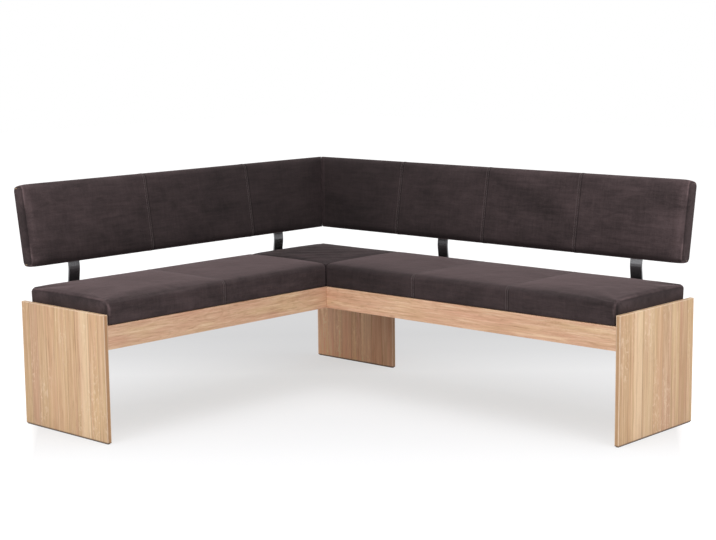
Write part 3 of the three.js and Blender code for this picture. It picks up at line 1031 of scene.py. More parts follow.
class Palette:
    """Holds every finish of the bench."""

    def __init__(self) -> None:
        """Build the shared groups and the materials."""
        oak, nap_and_painted_light, speckle = oak_group(), nap_group(), speckle_group()
        self.leg_long = OakFinish(
            Grain.UPRIGHT_FACING_X, stave_width=0.052, seed=3.3, tone=0.965,
            pale=(INNER_CORNER[1] + 0.089, INNER_CORNER[1] + 0.138),
            panel=corners("leg_panel_long_end")).material("oak_leg_long", oak)
        self.leg_short = OakFinish(
            Grain.UPRIGHT_FACING_Y, stave_width=0.052, seed=11.7, tone=0.975,
            pale=(INNER_CORNER[0] - 0.137, INNER_CORNER[0] - 0.086),
            panel=corners("leg_panel_short_end")).material("oak_leg_short", oak)
        # The corner leg: painted light makes it lighter at its bottom and outer end, and painted shade makes it
        # darker towards its top and inner end, under the apron and the seat
        self.leg_corner = OakFinish(
            Grain.UPRIGHT_FACING_Y, stave_width=0.058, seed=19.2, warmth=0.85, tone=1.92, shaded_far_tone=0.46,
            panel=corners("leg_panel_corner")).material("oak_leg_corner", oak)
        self.rail_x = OakFinish(Grain.ALONG_X, stave_width=0.3, seed=5.4, warmth=1.0, figure=2.0,
                                tone=1.13).material("oak_rail_x", oak)
        self.rail_y = OakFinish(Grain.ALONG_Y, stave_width=0.3, seed=8.9, warmth=1.0, figure=2.6,
                                tone=0.97).material("oak_rail_y", oak)
        self.cloth = ClothFinish(srgb(54, 44, 45), mottle=1.0, sheen=0.36).material("microfibre", nap_and_painted_light)
        # The corner pad's cloth is darker, partly because its nap lies the other way and partly as painted shade
        # from the backrests
        self.cloth_turned_and_shaded = ClothFinish(srgb(38, 30, 31), mottle=2.3, sheen=0.15).material(
            "microfibre_turned_and_shaded", nap_and_painted_light)
        self.plywood = PlywoodFinish().material("birch_plywood")
        self.steel, self.screw, self.felt, self.thread, self.wire = (
            finish.material(name, speckle) for name, finish in {
                "blackened_steel": SpeckleFinish(srgb(108, 108, 110), srgb(132, 132, 134), scale=1400.0,
                                                 roughness=0.28, metallic=1.0, depth=0.00004),
                "blackened_screw": SpeckleFinish(srgb(30, 30, 31), srgb(58, 58, 60), scale=2200.0,
                                                 roughness=0.34, metallic=0.85, depth=0.00004),
                "dark_felt": SpeckleFinish(srgb(38, 34, 32), srgb(66, 60, 56), scale=1600.0,
                                           roughness=0.92, depth=0.0004, sheen=0.3, specular=0.1),
                "sewing_thread": SpeckleFinish(srgb(78, 68, 67), srgb(98, 87, 86), scale=3000.0,
                                               roughness=0.62, sheen=0.3, specular=0.3),
                "staple_wire": SpeckleFinish(srgb(150, 150, 150), srgb(186, 186, 188), scale=2600.0,
                                             roughness=0.35, metallic=0.9, depth=0.00003),
            }.items())


def corners(node: str) -> tuple[Place, Place]:
    """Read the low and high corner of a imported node's box."""
    low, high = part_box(node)
    return tuple(low), tuple(high)


def dress(piece: Piece, material: bpy.types.Material) -> None:
    """Give a piece one material all over."""
    if piece.material_slots:
        for slot in piece.material_slots:
            slot.material = material
    else:
        piece.data.materials.append(material)


# Placement


class Side(Enum):
    """The two wings of the bench."""

    LONG = "long"
    SHORT = "short"


@dataclass(frozen=True)
class Wing:
    """Places points of a wing's own frame in the bench, and says how its cushions differ from the other's."""

    side: Side
    backrest_end: float
    seat_seams: tuple[float, ...]
    backrest_seams: tuple[float, ...]
    lap: float
    brackets: tuple[float, float]
    mitre_bulge: float
    # Painted shade and light along the seat and the backrest, as factors at the inner corner and at the free end,
    # darker towards the corner; and a painted highlight beside the backrest's mitre
    seat_combed: tuple[float, float]
    backrest_combed: tuple[float, float]
    mitre_highlight: float
    seat_pattern: float
    backrest_pattern: float

    def place(self, points: Points) -> Points:
        """Carry points from the wing's frame to the bench.

        Args:
            points: One row for each point.

        Returns:
            The rows in the bench's frame.
        """
        along, deep, up = points.T
        if self.side is Side.LONG:
            return np.stack([INNER_CORNER[0] + along, INNER_CORNER[1] + deep, up], 1)
        return np.stack([INNER_CORNER[0] - deep, INNER_CORNER[1] - along, up], 1)

    def spot(self, along: float, deep: float, up: float) -> Vector:
        """Carry one point from the wing's frame to the bench."""
        return Vector(self.place(np.array([[along, deep, up]], float))[0])

    def direction(self, along: float, deep: float, up: float) -> Vector:
        """Carry a direction from the wing's frame to the bench."""
        return self.spot(along, deep, up) - self.spot(0, 0, 0)

    def reach(self, low: Vector, high: Vector) -> tuple[float, float]:
        """Give where a box of the bench starts along the wing, and its length."""
        if self.side is Side.LONG:
            return low.x - INNER_CORNER[0], high.x - low.x
        return INNER_CORNER[1] - high.y, high.y - low.y

    def settle(self, piece: Piece) -> None:
        """Move a piece from the wing's frame to the bench, and keep its faces outwards."""
        move_points(piece, self.place(coordinates(piece)))
        if self.side is Side.SHORT:
            turn_faces(piece)


LONG_WING = Wing(
    Side.LONG, backrest_end=LONG_SEAT + 0.006,
    seat_seams=(LONG_SEAT / 3 + 0.005, LONG_SEAT * 2 / 3 - 0.004),
    backrest_seams=(0.020, LONG_SEAT / 3 + 0.014, LONG_SEAT * 2 / 3 - 0.001),
    lap=-1.0, brackets=(0.205, 1.090), mitre_bulge=0.0030, seat_combed=(0.76, 1.06), backrest_combed=(0.49, 1.47),
    mitre_highlight=0.8, seat_pattern=0.0, backrest_pattern=11.3)
SHORT_WING = Wing(
    Side.SHORT, backrest_end=SHORT_SEAT + 0.013,
    seat_seams=(SHORT_SEAT / 2 - 0.011,),
    backrest_seams=(-0.004, SHORT_SEAT / 2 - 0.015),
    lap=1.0, brackets=(-0.191, 0.840), mitre_bulge=-0.0029, seat_combed=(1.02, 1.14), backrest_combed=(0.47, 1.14),
    mitre_highlight=0.0, seat_pattern=3.1, backrest_pattern=17.9)
PAD_PATTERN = 6.7
PATTERN_SHIFT = np.array((1.0, 0.7, 1.3))


def on_backrest(points: Points) -> Points:
    """Stand a flat backrest block up in its wing: mitre its first panel and recline it.

    Args:
        points: X along the block from its mitre end, Y up the slope, Z from the rear to the padded face.

    Returns:
        The points in the wing's frame.
    """
    along, slope, level = points.T
    inward = BLOCK_THICKNESS - level
    deep = BACKREST_SETBACK + slope * math.sin(RECLINE) + inward * math.cos(RECLINE)
    up = BACKREST_BASE + slope * math.cos(RECLINE) - inward * math.sin(RECLINE)
    fade = np.clip(1 - along / BACKREST_SETBACK, 0, 1)
    run = along - BACKREST_SETBACK + (MITRE_GAP + BACKREST_SETBACK - deep) * fade
    return np.stack([run, deep, up], 1)


# Soft pieces


@dataclass(frozen=True)
class Crease:
    """A fold in the cloth: a line of points with its depth, half width, and the painted highlight or shade along
    it.
    """

    line: tuple[Place, ...]
    depth: float
    width: float
    # Painted highlight along the fold, or painted shade where below 0
    light: float = 0.0


# A seam's cross-section, as depths over the distance from the seam towards its lap
SEAM_SHAPE = (Ridge(0.0, 0.0021, 0.0023), Ridge(0.0160, 0.0022, 0.0008),
              *(Ridge(row, 0.0013, 0.0005) for row in STITCH_ROWS))
LAP_RISE, LAP_START, LAP_END, LAP_SLOPE = 0.0007, 0.0012, 0.0140, 0.0014
# Painted shade in the seam's groove and a painted highlight on its lap
SEAM_SHADE_AND_HIGHLIGHT = (Ridge(0.0, 0.0030, -0.45), Ridge(0.0132, 0.0024, 0.30))

# The seam round an end panel, over the distance inside the panel: its shape, and painted shade in it with a
# painted highlight just outside; the end panel itself gets painted shade
SEAT_END_SHAPE = (Ridge(0.0012, 0.0018, -0.0009), Ridge(-0.0030, 0.0026, 0.0006))
SEAT_END_SHADE_AND_HIGHLIGHT = (Ridge(0.0014, 0.0022, -0.22), Ridge(-0.0062, 0.0052, 0.30))
BACK_END_SHAPE = (Ridge(0.0012, 0.0018, -0.0016), Ridge(-0.0030, 0.0026, 0.0006))
BACK_END_SHADE_AND_HIGHLIGHT = (Ridge(0.0014, 0.0022, -0.45), Ridge(-0.0062, 0.0052, 0.06))
END_CORNER = 0.012
END_SHARE = 0.42
END_SLANT = 0.35
END_SHADE = 0.30
FAR_FROM_END = -1.0

# The form: how far the sides are drawn in at half height, and how far back the front edge slopes
WAIST_SHARE = 0.35
SHOULDER_REACH = 0.030

# What stays still while a cover swells
HELD_HEIGHT = 0.006
HELD_AT_END = 0.003
HELD_BEFORE_SEAM = 0.0035
HELD_PAST_EDGE = 0.002
CLOTH = {"quality": 5, "mass": 0.35, "tension_stiffness": 60, "compression_stiffness": 60, "shear_stiffness": 20,
         "bending_stiffness": 1.2, "use_pressure": True, "uniform_pressure_force": PRESSURE}
MM_PER_METRE = 1000

# Seams show above this height; a fold has a smaller wave beside it, and fades in from a part of its depth
SEWN_HEIGHT = 0.004
WAVE_PLACE, WAVE_DEPTH = 1.9, 0.45
FADE_START = 0.14

# Painted shade and highlights on the cloth: shade on the seat tops and at their foot, a highlight beside the
# seat's joint, shade under the backrest and at the foot of its face, highlights near its free end and beside the
# mitre, and shade in the mitre
SEAT_FACE_SHADE = 0.24
SEAT_JOINT_HIGHLIGHT = Ridge(0.008, 0.006, 0.14)
SEAT_FOOT, SEAT_FOOT_SHADE = 0.014, 0.30
BACK_FACE_FOOT = Ridge(0.0, 0.022, 0.22)
BACK_UNDER_SHADE = 0.55
BACK_FREE_END_HIGHLIGHT = Ridge(0.022, 0.013, 0.42)
MITRE_SHADE = Ridge(0.0, 0.0018, -0.50)
# Where the painted highlight beside the mitre lies, and its half width
MITRE_LIGHT_PLACE, MITRE_LIGHT_WIDTH = 0.009, 0.006

# The open underside and the stitches
DOWNWARD = -0.9
RIM_MARGIN = 0.0005
RIM_STEP = 0.0001
BOARD_MARGIN = 0.0004
UNDERSIDE = 0.002
SEAM_FOOT = 0.005
STITCH_RUNS = (0.002, 0.009)
STITCH_RISE = 0.00015


@dataclass
class Cushion:
    """A foam block on a board, in a sewn cover, lying flat with its padded face up."""

    name: str
    size: Place
    pattern: float
    seams: tuple[float, ...] = ()
    lap: float = 1.0
    held_ends: tuple[bool, bool] = (True, False)
    creases: tuple[Crease, ...] = ()
    # Painted shade along the cushion, as factors at its start and at its end
    painted_shading: tuple[float, float] = (1.0, 1.0)
    radii: tuple[float, float, float, float, float] = (0.0014, 0.016, 0.020, 0.023, 0.004)
    crown: float = 0.005
    valley: float = 0.12
    draw: float = 0.002
    rise: float = 0.0035
    shoulder: float = 0.0020
    board: float = SEAT_BOARD
    flat_seams: float = 0.9
    mitre_bulge: float = 0.0
    end_shape: tuple[Ridge, ...] = SEAT_END_SHAPE
    end_shade_and_highlight: tuple[Ridge, ...] = SEAT_END_SHADE_AND_HIGHLIGHT

    def node(self, part: str) -> str:
        """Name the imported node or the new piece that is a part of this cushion."""
        return self.name.replace("cushion", part)

    def stations(self, axis: int, low: float, high: float, stops: Sequence[float] = ()) -> list[float]:
        """Rule lines along one axis: close at the rounded edges and seams, wider between.

        Args:
            axis: 0, 1 or 2.
            low: Radius at the low side.
            high: Radius at the high side.
            stops: Places that get a line.

        Returns:
            The places of the lines.
        """
        fixed = [band * low for band in EDGE_BANDS] + [self.size[axis] - band * high for band in EDGE_BANDS]
        fixed = sorted(set(round(place, 6) for place in [*fixed, *stops]))
        lines: list[float] = []
        for start, end in zip(fixed, fixed[1:]):
            parts = max(1, round((end - start) / LINE_PITCH))
            lines.extend(start + (end - start) * step / parts for step in range(parts))
        return lines + [fixed[-1]]

    def block(self) -> Piece:
        """Model the ruled block with rounded edges, a low crown and drawn-in sides.

        Returns:
            The block.
        """
        start, end, side, top, bottom = self.radii
        rims = [(FLANGE_WIDTH, length - FLANGE_WIDTH) for length in self.size[:2]]
        seam_stops = [seam + self.lap * band for seam in self.seams for band in SEAM_BANDS]
        block = grid_box(self.name, (self.stations(0, start, end, [*rims[0], *seam_stops]),
                                     self.stations(1, side, side, rims[1]), self.stations(2, bottom, top)))
        points = coordinates(block)
        low, high = np.array([start, side, bottom]), np.array([end, side, top])
        middle = np.clip(points, low, np.array(self.size) - high)
        reach = points - middle
        radius = np.where(reach < 0, low, high)
        unit = reach / radius
        length_of = np.linalg.norm(unit, axis=1, keepdims=True)
        away = unit / np.where(length_of > 0, length_of, 1)
        outward = away / np.linalg.norm(away, axis=1, keepdims=True)
        move_points(block, self.shape(middle + away * radius, outward))
        return block

    def panel_share(self, along: np.ndarray) -> np.ndarray:
        """Give how far along its sewn panel each place lies, from 0 to 1."""
        stops = np.array([0.0, *self.seams, self.size[0]])
        right = np.clip(np.searchsorted(stops, along), 1, len(stops) - 1)
        return np.clip((along - stops[right - 1]) / (stops[right] - stops[right - 1]), 0, 1)

    def shape(self, points: Points, outward: Points) -> Points:
        """Crown the padded face and draw the sides in.

        Args:
            points: The points of the block.
            outward: The outward direction at each.

        Returns:
            The shaped points.
        """
        share_x, share_y, share_z = (points / self.size).T
        arch = 1 - self.valley + self.valley * np.sqrt(bow(self.panel_share(points[:, 0])))
        crown = self.crown * np.sqrt(bow(share_y)) * arch - self.rise
        shoulder = self.shoulder * np.exp(-(points[:, 1] / SHOULDER_REACH) ** 2) * np.clip(share_z, 0, 1) ** 3
        tuck, waist = self.draw * (1 - share_z) ** 2, self.draw * WAIST_SHARE
        free = np.where(share_x < 0.5, not self.held_ends[0], not self.held_ends[1])
        bulge = self.mitre_bulge * np.sin(np.pi * np.clip(share_z, 0, 1)) ** 2 * np.clip(-outward[:, 0], 0, 1)
        shaped = points.copy()
        shaped[:, 0] += free * (tuck + waist * bow(share_y)) * (1 - 2 * share_x) - bulge
        shaped[:, 1] += (tuck + waist * bow(share_x)) * (1 - 2 * share_y)
        shaped[:, 2] += crown * np.clip(outward[:, 2], 0, 1) - shoulder
        return shaped

    def end_panel(self, points: Points, outward: Points) -> np.ndarray:
        """Measure how far inside the sewn end panel of a free end each point lies.

        Args:
            points: The points of the cover.
            outward: The outward direction at each.

        Returns:
            The distance from the seam of the end panel: above 0 inside it, far below 0 elsewhere.
        """
        _, depth, height = self.size
        inset_y, inset_z = (radius * END_SHARE for radius in self.radii[2:4])
        half = np.array([depth / 2 - inset_y, height])
        offset = np.abs(np.column_stack([points[:, 1] - depth / 2, points[:, 2] + inset_z])) - half + END_CORNER
        outside = np.linalg.norm(np.clip(offset, 0, None), axis=1) + np.clip(offset.max(axis=1), None, 0)
        low_end = (outward[:, 0] < -END_SLANT) & (not self.held_ends[0])
        high_end = (outward[:, 0] > END_SLANT) & (not self.held_ends[1])
        return np.where(low_end | high_end, END_CORNER - outside, FAR_FROM_END)

    def beside_seams(self, points: Points) -> list[np.ndarray]:
        """Give how far each point lies from each seam, towards its lap."""
        return [self.lap * (points[:, 0] - seam) for seam in self.seams]

    def quiet(self, outward: Points) -> np.ndarray:
        """Give how much of a seam shows at each point: less where the padded face pulls it flat."""
        return 1 - self.flat_seams * np.clip(outward[:, 2], 0, 1) ** 2

    def held(self, points: Points, outward: Points) -> np.ndarray:
        """Say which points the seams, the stapled edge and the held ends keep still.

        Args:
            points: The points of the block.
            outward: The outward direction at each.

        Returns:
            One truth value for each point.
        """
        held = (points[:, 2] < HELD_HEIGHT) | (np.abs(self.end_panel(points, outward)) < HELD_AT_END)
        for beside in self.beside_seams(points):
            held |= (beside > -HELD_BEFORE_SEAM) & (beside < LAP_END)
        from_ends = (points[:, 0], self.size[0] - points[:, 0])
        for from_end, radius, end_held in zip(from_ends, self.radii, self.held_ends):
            held |= (from_end < radius + HELD_PAST_EDGE) & end_held
        return held

    def swell(self, block: Piece) -> None:
        """Let the cover swell over the foam as cloth, with a cap on how far it moves."""
        rest = coordinates(block)
        group = block.vertex_groups.new(name="held")
        held = np.flatnonzero(self.held(rest, point_normals(block)))
        group.add([int(number) for number in held], 1.0, "REPLACE")
        activate(block)
        modifier = block.modifiers.new("Swell", "CLOTH")
        for key, value in CLOTH.items():
            setattr(modifier.settings, key, value)
        modifier.settings.vertex_group_mass = group.name
        modifier.settings.effector_weights.gravity = 0.0
        modifier.point_cache.frame_start = 1
        modifier.point_cache.frame_end = CLOTH_FRAMES
        scene = bpy.context.scene
        for frame in range(1, CLOTH_FRAMES + 1):
            scene.frame_set(frame)
        bpy.ops.object.modifier_apply(modifier=modifier.name)
        scene.frame_set(1)
        block.vertex_groups.clear()
        moved = coordinates(block) - rest
        reach = np.linalg.norm(moved, axis=1)
        kept = np.where(reach > 1e-9, SWELL_CAP * np.tanh(reach / SWELL_CAP) / np.maximum(reach, 1e-9), 0)
        log.info("%s swelled by up to %.1f mm, mean %.1f mm", self.name,
                 reach.max() * MM_PER_METRE, reach.mean() * MM_PER_METRE)
        move_points(block, rest + moved * kept[:, None])

    def keep_inside(self, block: Piece) -> None:
        """Keep the cover in its own space beside its neighbours."""
        length, depth, height = self.size
        low = (SIDE_CLEARANCE, SIDE_CLEARANCE, 0.0)
        high = (length - SIDE_CLEARANCE, depth - SIDE_CLEARANCE, height + self.crown + TOP_CLEARANCE)
        move_points(block, np.clip(coordinates(block), low, high))

    def refine(self, block: Piece) -> None:
        """Divide the mesh once for its final smoothness."""
        modifier = block.modifiers.new("Round", "SUBSURF")
        modifier.levels = modifier.render_levels = 1
        apply_modifiers(block)

    def folds(self, block: Piece, points: Points) -> list[tuple[Crease, np.ndarray, np.ndarray]]:
        """Lay every fold onto the cover.

        Args:
            block: The cover.
            points: Its points.

        Returns:
            Each fold, with how far every point lies from it and how far along it.
        """
        surface = surface_of(block)
        return [(crease, *line_distance(points, traced(surface, crease.line))) for crease in self.creases]

    def sew(self, block: Piece) -> None:
        """Sink each seam, raise the lap beside it and press the folds of the corners in."""
        points, outward = coordinates(block), point_normals(block)
        lift = np.zeros(len(points))
        for beside in self.beside_seams(points):
            lap = rising(beside, LAP_START, LAP_SLOPE) * rising(-beside, -LAP_END, LAP_SLOPE)
            lift += (LAP_RISE * lap - sum(ridge.at(beside) for ridge in SEAM_SHAPE)) * self.quiet(outward)
        lift += sum(ridge.at(self.end_panel(points, outward)) for ridge in self.end_shape)
        lift *= points[:, 2] > SEWN_HEIGHT
        for crease, gap, share in self.folds(block, points):
            fade = np.sin(np.pi * np.clip(share * (1 - FADE_START) + FADE_START, 0, 1)) ** 0.6
            wave = Ridge(0.0, crease.width, 1.0).at(gap)
            wave -= Ridge(WAVE_PLACE * crease.width, crease.width, WAVE_DEPTH).at(gap)
            lift -= crease.depth * wave * fade
        move_points(block, points + outward * lift[:, None])

    def painted_shade_and_highlight(self, points: Points, outward: Points) -> np.ndarray:
        """Give the painted shade and highlights on the cover.

        Args:
            points: Its points.
            outward: The outward direction at each.

        Returns:
            A factor for each point.
        """
        # Painted shade on the top face and at the foot, and a painted highlight beside the joint at the start
        shade = 1 - SEAT_FACE_SHADE * np.clip(outward[:, 2], 0, 1)
        foot_shadow = 1 - SEAT_FOOT_SHADE * np.clip(1 - points[:, 2] / SEAT_FOOT, 0, 1)
        return shade * (1 + SEAT_JOINT_HIGHLIGHT.at(points[:, 0])) * foot_shadow

    def keep_painted_light(self, block: Piece) -> None:
        """Keep the painted shade and highlights at each point as a factor on the cloth's colour: darker towards
        the inner corner, in the seams, on the end panels and along the dark folds, lighter on the laps, along the
        light folds and beside the ends.
        """
        points, outward = coordinates(block), point_normals(block)
        # Painted shade along the cushion towards the inner corner, times the painted shade and highlights of its
        # faces
        nap_and_painted_light = np.interp(points[:, 0] / self.size[0], (0, 1), self.painted_shading) * self.painted_shade_and_highlight(points, outward)
        # Painted shade in each seam and a painted highlight on its lap
        for beside in self.beside_seams(points):
            for ridge in SEAM_SHADE_AND_HIGHLIGHT:
                nap_and_painted_light *= 1 + ridge.at(beside) * self.quiet(outward)
        # Painted highlight or shade along each fold
        for crease, gap, share in self.folds(block, points):
            shine = np.sin(np.pi * np.clip(share, 0, 1)) ** 0.5
            nap_and_painted_light *= 1 + Ridge(0.0, crease.width, crease.light).at(gap) * shine
        # Painted shade over the end panel, and painted shade and a highlight along its seam
        panel = self.end_panel(points, outward)
        nap_and_painted_light *= 1 - END_SHADE * rising(panel, -0.002, 0.004)
        for ridge in self.end_shade_and_highlight:
            nap_and_painted_light *= 1 + ridge.at(panel)
        remember(block, "nap_and_painted_light", nap_and_painted_light)

    def hollow(self, block: Piece) -> None:
        """Open the underside where the board shows inside the stapled flange."""
        middles, normals = (rows(block.data.polygons, name, 3) for name in ("center", "normal"))
        half = np.array(self.size[:2]) / 2
        inside = (normals[:, 2] < DOWNWARD) & (middles[:, 2] < UNDERSIDE)
        inside &= (np.abs(middles[:, :2] - half) < half - FLANGE_WIDTH + RIM_MARGIN).all(axis=1)
        select_in(block, "FACE", inside)
        bpy.ops.mesh.delete(type="FACE")
        bpy.ops.mesh.select_mode(type="EDGE")
        bpy.ops.mesh.select_all(action="DESELECT")
        bpy.ops.mesh.select_non_manifold(extend=False)
        for rise in (FLANGE_THICKNESS, RIM_STEP):
            bpy.ops.mesh.extrude_region_move(TRANSFORM_OT_translate={"value": (0, 0, rise)})
        leave_edit()
        chosen = np.zeros(len(block.data.vertices), bool)
        block.data.vertices.foreach_get("select", chosen)
        points = coordinates(block)
        points[chosen, :2] = self.board_outline(points[chosen, :2])
        move_points(block, points)
        select_in(block, "VERT", chosen)
        bpy.ops.mesh.select_mode(type="EDGE")
        top = BOARD_GAP + self.board + BOARD_MARGIN
        bpy.ops.mesh.extrude_region_move(TRANSFORM_OT_translate={"value": (0, 0, top)})
        bpy.ops.mesh.edge_face_add()
        leave_edit()

    def board_outline(self, rim: Points) -> Points:
        """Spread the mouth of the flange to the outline of the board.

        Args:
            rim: Points round the mouth, two numbers to a row.

        Returns:
            The points moved out to the board's edge.
        """
        size, inset = np.array(self.size[:2]), BOARD_INSET + self.draw
        factor = (size - 2 * inset) / (size - 2 * FLANGE_WIDTH)
        return round_corners(size / 2 + (rim - size / 2) * factor, size, inset, BOARD_CORNER)

    def seam_loop(self, along: float) -> Iterable[Vector]:
        """Give evenly spaced places round the padded faces of the block at one distance along it.

        Args:
            along: Distance along the block.

        Returns:
            The places, up the front, over the top and down the back.
        """
        _, depth, height = self.size
        turns = [Vector((along, deep, up)) for deep, up in
                 ((0.0, SEAM_FOOT), (0.0, height), (depth, height), (depth, SEAM_FOOT))]
        for start, end in zip(turns, turns[1:]):
            steps = max(1, round((end - start).length / STITCH_SPACING))
            yield from (start.lerp(end, step / steps) for step in range(steps))

    def stitch_places(self, block: Piece) -> list[Matrix]:
        """Find where each stitch of the seams lies.

        Args:
            block: The finished cover, lying flat.

        Returns:
            The placement of each stitch, with X along it and Z out of the cloth.
        """
        tree = surface_of(block)
        places: list[Matrix] = []
        for along in (seam + self.lap * row for seam in self.seams for row in STITCH_ROWS):
            hits = [tree.find_nearest(place) for place in self.seam_loop(along)]
            spots = [Vector((along, hit[0].y, hit[0].z)) for hit in hits]
            for first, second, (_, up, _, _) in zip(spots, spots[1:], hits):
                run = second - first
                if not STITCH_RUNS[0] < run.length < STITCH_RUNS[1]:
                    continue
                x_axis = run.normalized()
                z_axis = (up - up.dot(x_axis) * x_axis).normalized()
                turn = Matrix((x_axis, z_axis.cross(x_axis), z_axis)).transposed().to_4x4()
                places.append(Matrix.Translation((first + second) / 2 + z_axis * STITCH_RISE) @ turn)
        return places

    def build(self) -> tuple[Piece, list[Matrix]]:
        """Shape, swell and sew the cushion, keep its painted shade and highlights, and hollow it, still lying
        flat.

        Returns:
            The cushion and the places of its stitches.
        """
        block = self.block()
        self.swell(block)
        self.keep_inside(block)
        self.refine(block)
        self.sew(block)
        self.keep_painted_light(block)
        places = self.stitch_places(block)
        self.hollow(block)
        return block, places


@dataclass
class BackrestCushion(Cushion):
    """A backrest, which is thinner, pulled less flat at its seams, and has its painted shade and highlights in
    other places.
    """

    radii: tuple[float, float, float, float, float] = (0.0012, 0.028, 0.021, 0.019, 0.006)
    crown: float = 0.003
    valley: float = 0.4
    draw: float = 0.001
    rise: float = 0.002
    shoulder: float = 0.0
    board: float = BACK_BOARD
    flat_seams: float = 0.0
    end_shape: tuple[Ridge, ...] = BACK_END_SHAPE
    end_shade_and_highlight: tuple[Ridge, ...] = BACK_END_SHADE_AND_HIGHLIGHT
    # A painted highlight beside the mitre
    mitre_highlight: float = 0.0

    def painted_shade_and_highlight(self, points: Points, outward: Points) -> np.ndarray:
        """Give the painted shade and highlights on the cover.

        Args:
            points: Its points.
            outward: The outward direction at each.

        Returns:
            A factor for each point.
        """
        face = np.clip(outward[:, 2], 0, 1)
        # Painted shade on the underside and at the foot of the face, painted highlights near the free end and
        # beside the mitre, and painted shade in the mitre
        below = BACK_UNDER_SHADE * np.clip(-outward[:, 1], 0, 1) + BACK_FACE_FOOT.at(points[:, 1]) * face
        near_end = 1 + BACK_FREE_END_HIGHLIGHT.at(self.size[0] - points[:, 0]) * face
        near_mitre = 1 + Ridge(MITRE_LIGHT_PLACE, MITRE_LIGHT_WIDTH, self.mitre_highlight).at(points[:, 0])
        return (1 - below) * near_end * near_mitre * (1 + MITRE_SHADE.at(points[:, 0]))


# How far the fold down a corner lies from its edge
FOLD_SETBACK = 0.003

# Folds across the corner pad: how far each lies beside the diagonal
PAD_FOLDS = (-0.23, -0.12, -0.02, 0.07, 0.17)
PAD_MARGIN = 0.03
PAD_SWAY = 0.012
# How far in from its free sides the painted shadow on the pad lies
PAD_SHADOW_INSET = 0.029


def corner_folds(size: Place, ends: Iterable[tuple[bool, bool]], reach: float) -> tuple[Crease, ...]:
    """Lay the folds of a cover's corners, where the cloth of the front is tucked round the end, with painted
    highlights along some of them.

    Args:
        size: Size of the cushion.
        ends: Which corners: at the high end or not, at the back or not.
        reach: Size of a fold.

    Returns:
        The folds.
    """
    length, depth, height = size
    setback = FOLD_SETBACK / reach

    # Places in units of the reach: from the end, from the side and down; then depth, half width and painted
    # highlight
    shapes = (
        (((0.15, 4.4, 0.20), (0.15, 2.2, 0.20), (0.22, 0.9, 0.30), (0.36, 0.25, 0.70), (0.36, 0.0, 1.4),
          (0.32, 0.0, 2.1)), -0.0011, 0.0040, 1.10),
        (((0.20, 0.15, 0.0), (0.03, 0.05, 0.32), (0.0, setback, 0.9), (0.0, setback, 2.4)), 0.0009, 0.0034, 0.0),
        (((0.0, 0.5, 1.1), (0.0, 1.8, 0.9), (0.0, 3.6, 0.9)), -0.0005, 0.0160, 0.75),
    )
    folds = []
    for far, back in ends:
        x, inward = (length, -reach) if far else (0.0, reach)
        y, deeper = (depth, -reach) if back else (0.0, reach)
        for line, *look in shapes:
            folds.append(Crease(tuple((x + inward * along, y + deeper * deep, height - reach * down)
                                      for along, deep, down in line), *look))
    return tuple(folds)


def pad_folds(side: float, height: float) -> tuple[Crease, ...]:
    """Lay the long soft folds that a loose cover shows on a square pad, with painted highlights and shade along
    them, and a painted shadow along its free sides.

    Args:
        side: Side of the pad.
        height: Height of its padded face.

    Returns:
        The folds.
    """
    folds = []
    for number, shift in enumerate(PAD_FOLDS):
        start, end = max(PAD_MARGIN, PAD_MARGIN - shift), min(side - PAD_MARGIN, side - PAD_MARGIN - shift)
        sway = -PAD_SWAY if number % 2 else PAD_SWAY
        line = tuple((x, x + shift + drift, height) for x, drift in zip(
            np.linspace(start, end, 5), (0.0, sway, -sway * 0.4, sway, 0.0)))
        # Every other fold gets a painted highlight, the rest painted shade
        folds.append(Crease(line, -0.0012, 0.011, 0.42 if number % 2 else -0.16))
    # A painted shadow along each free side, with no fold in the cloth
    for line in (((0.0, PAD_SHADOW_INSET, height), (side, PAD_SHADOW_INSET, height)),
                 ((side - PAD_SHADOW_INSET, 0.0, height), (side - PAD_SHADOW_INSET, side, height))):
        folds.append(Crease(line, 0.0, 0.013, -0.50))
    return tuple(folds)


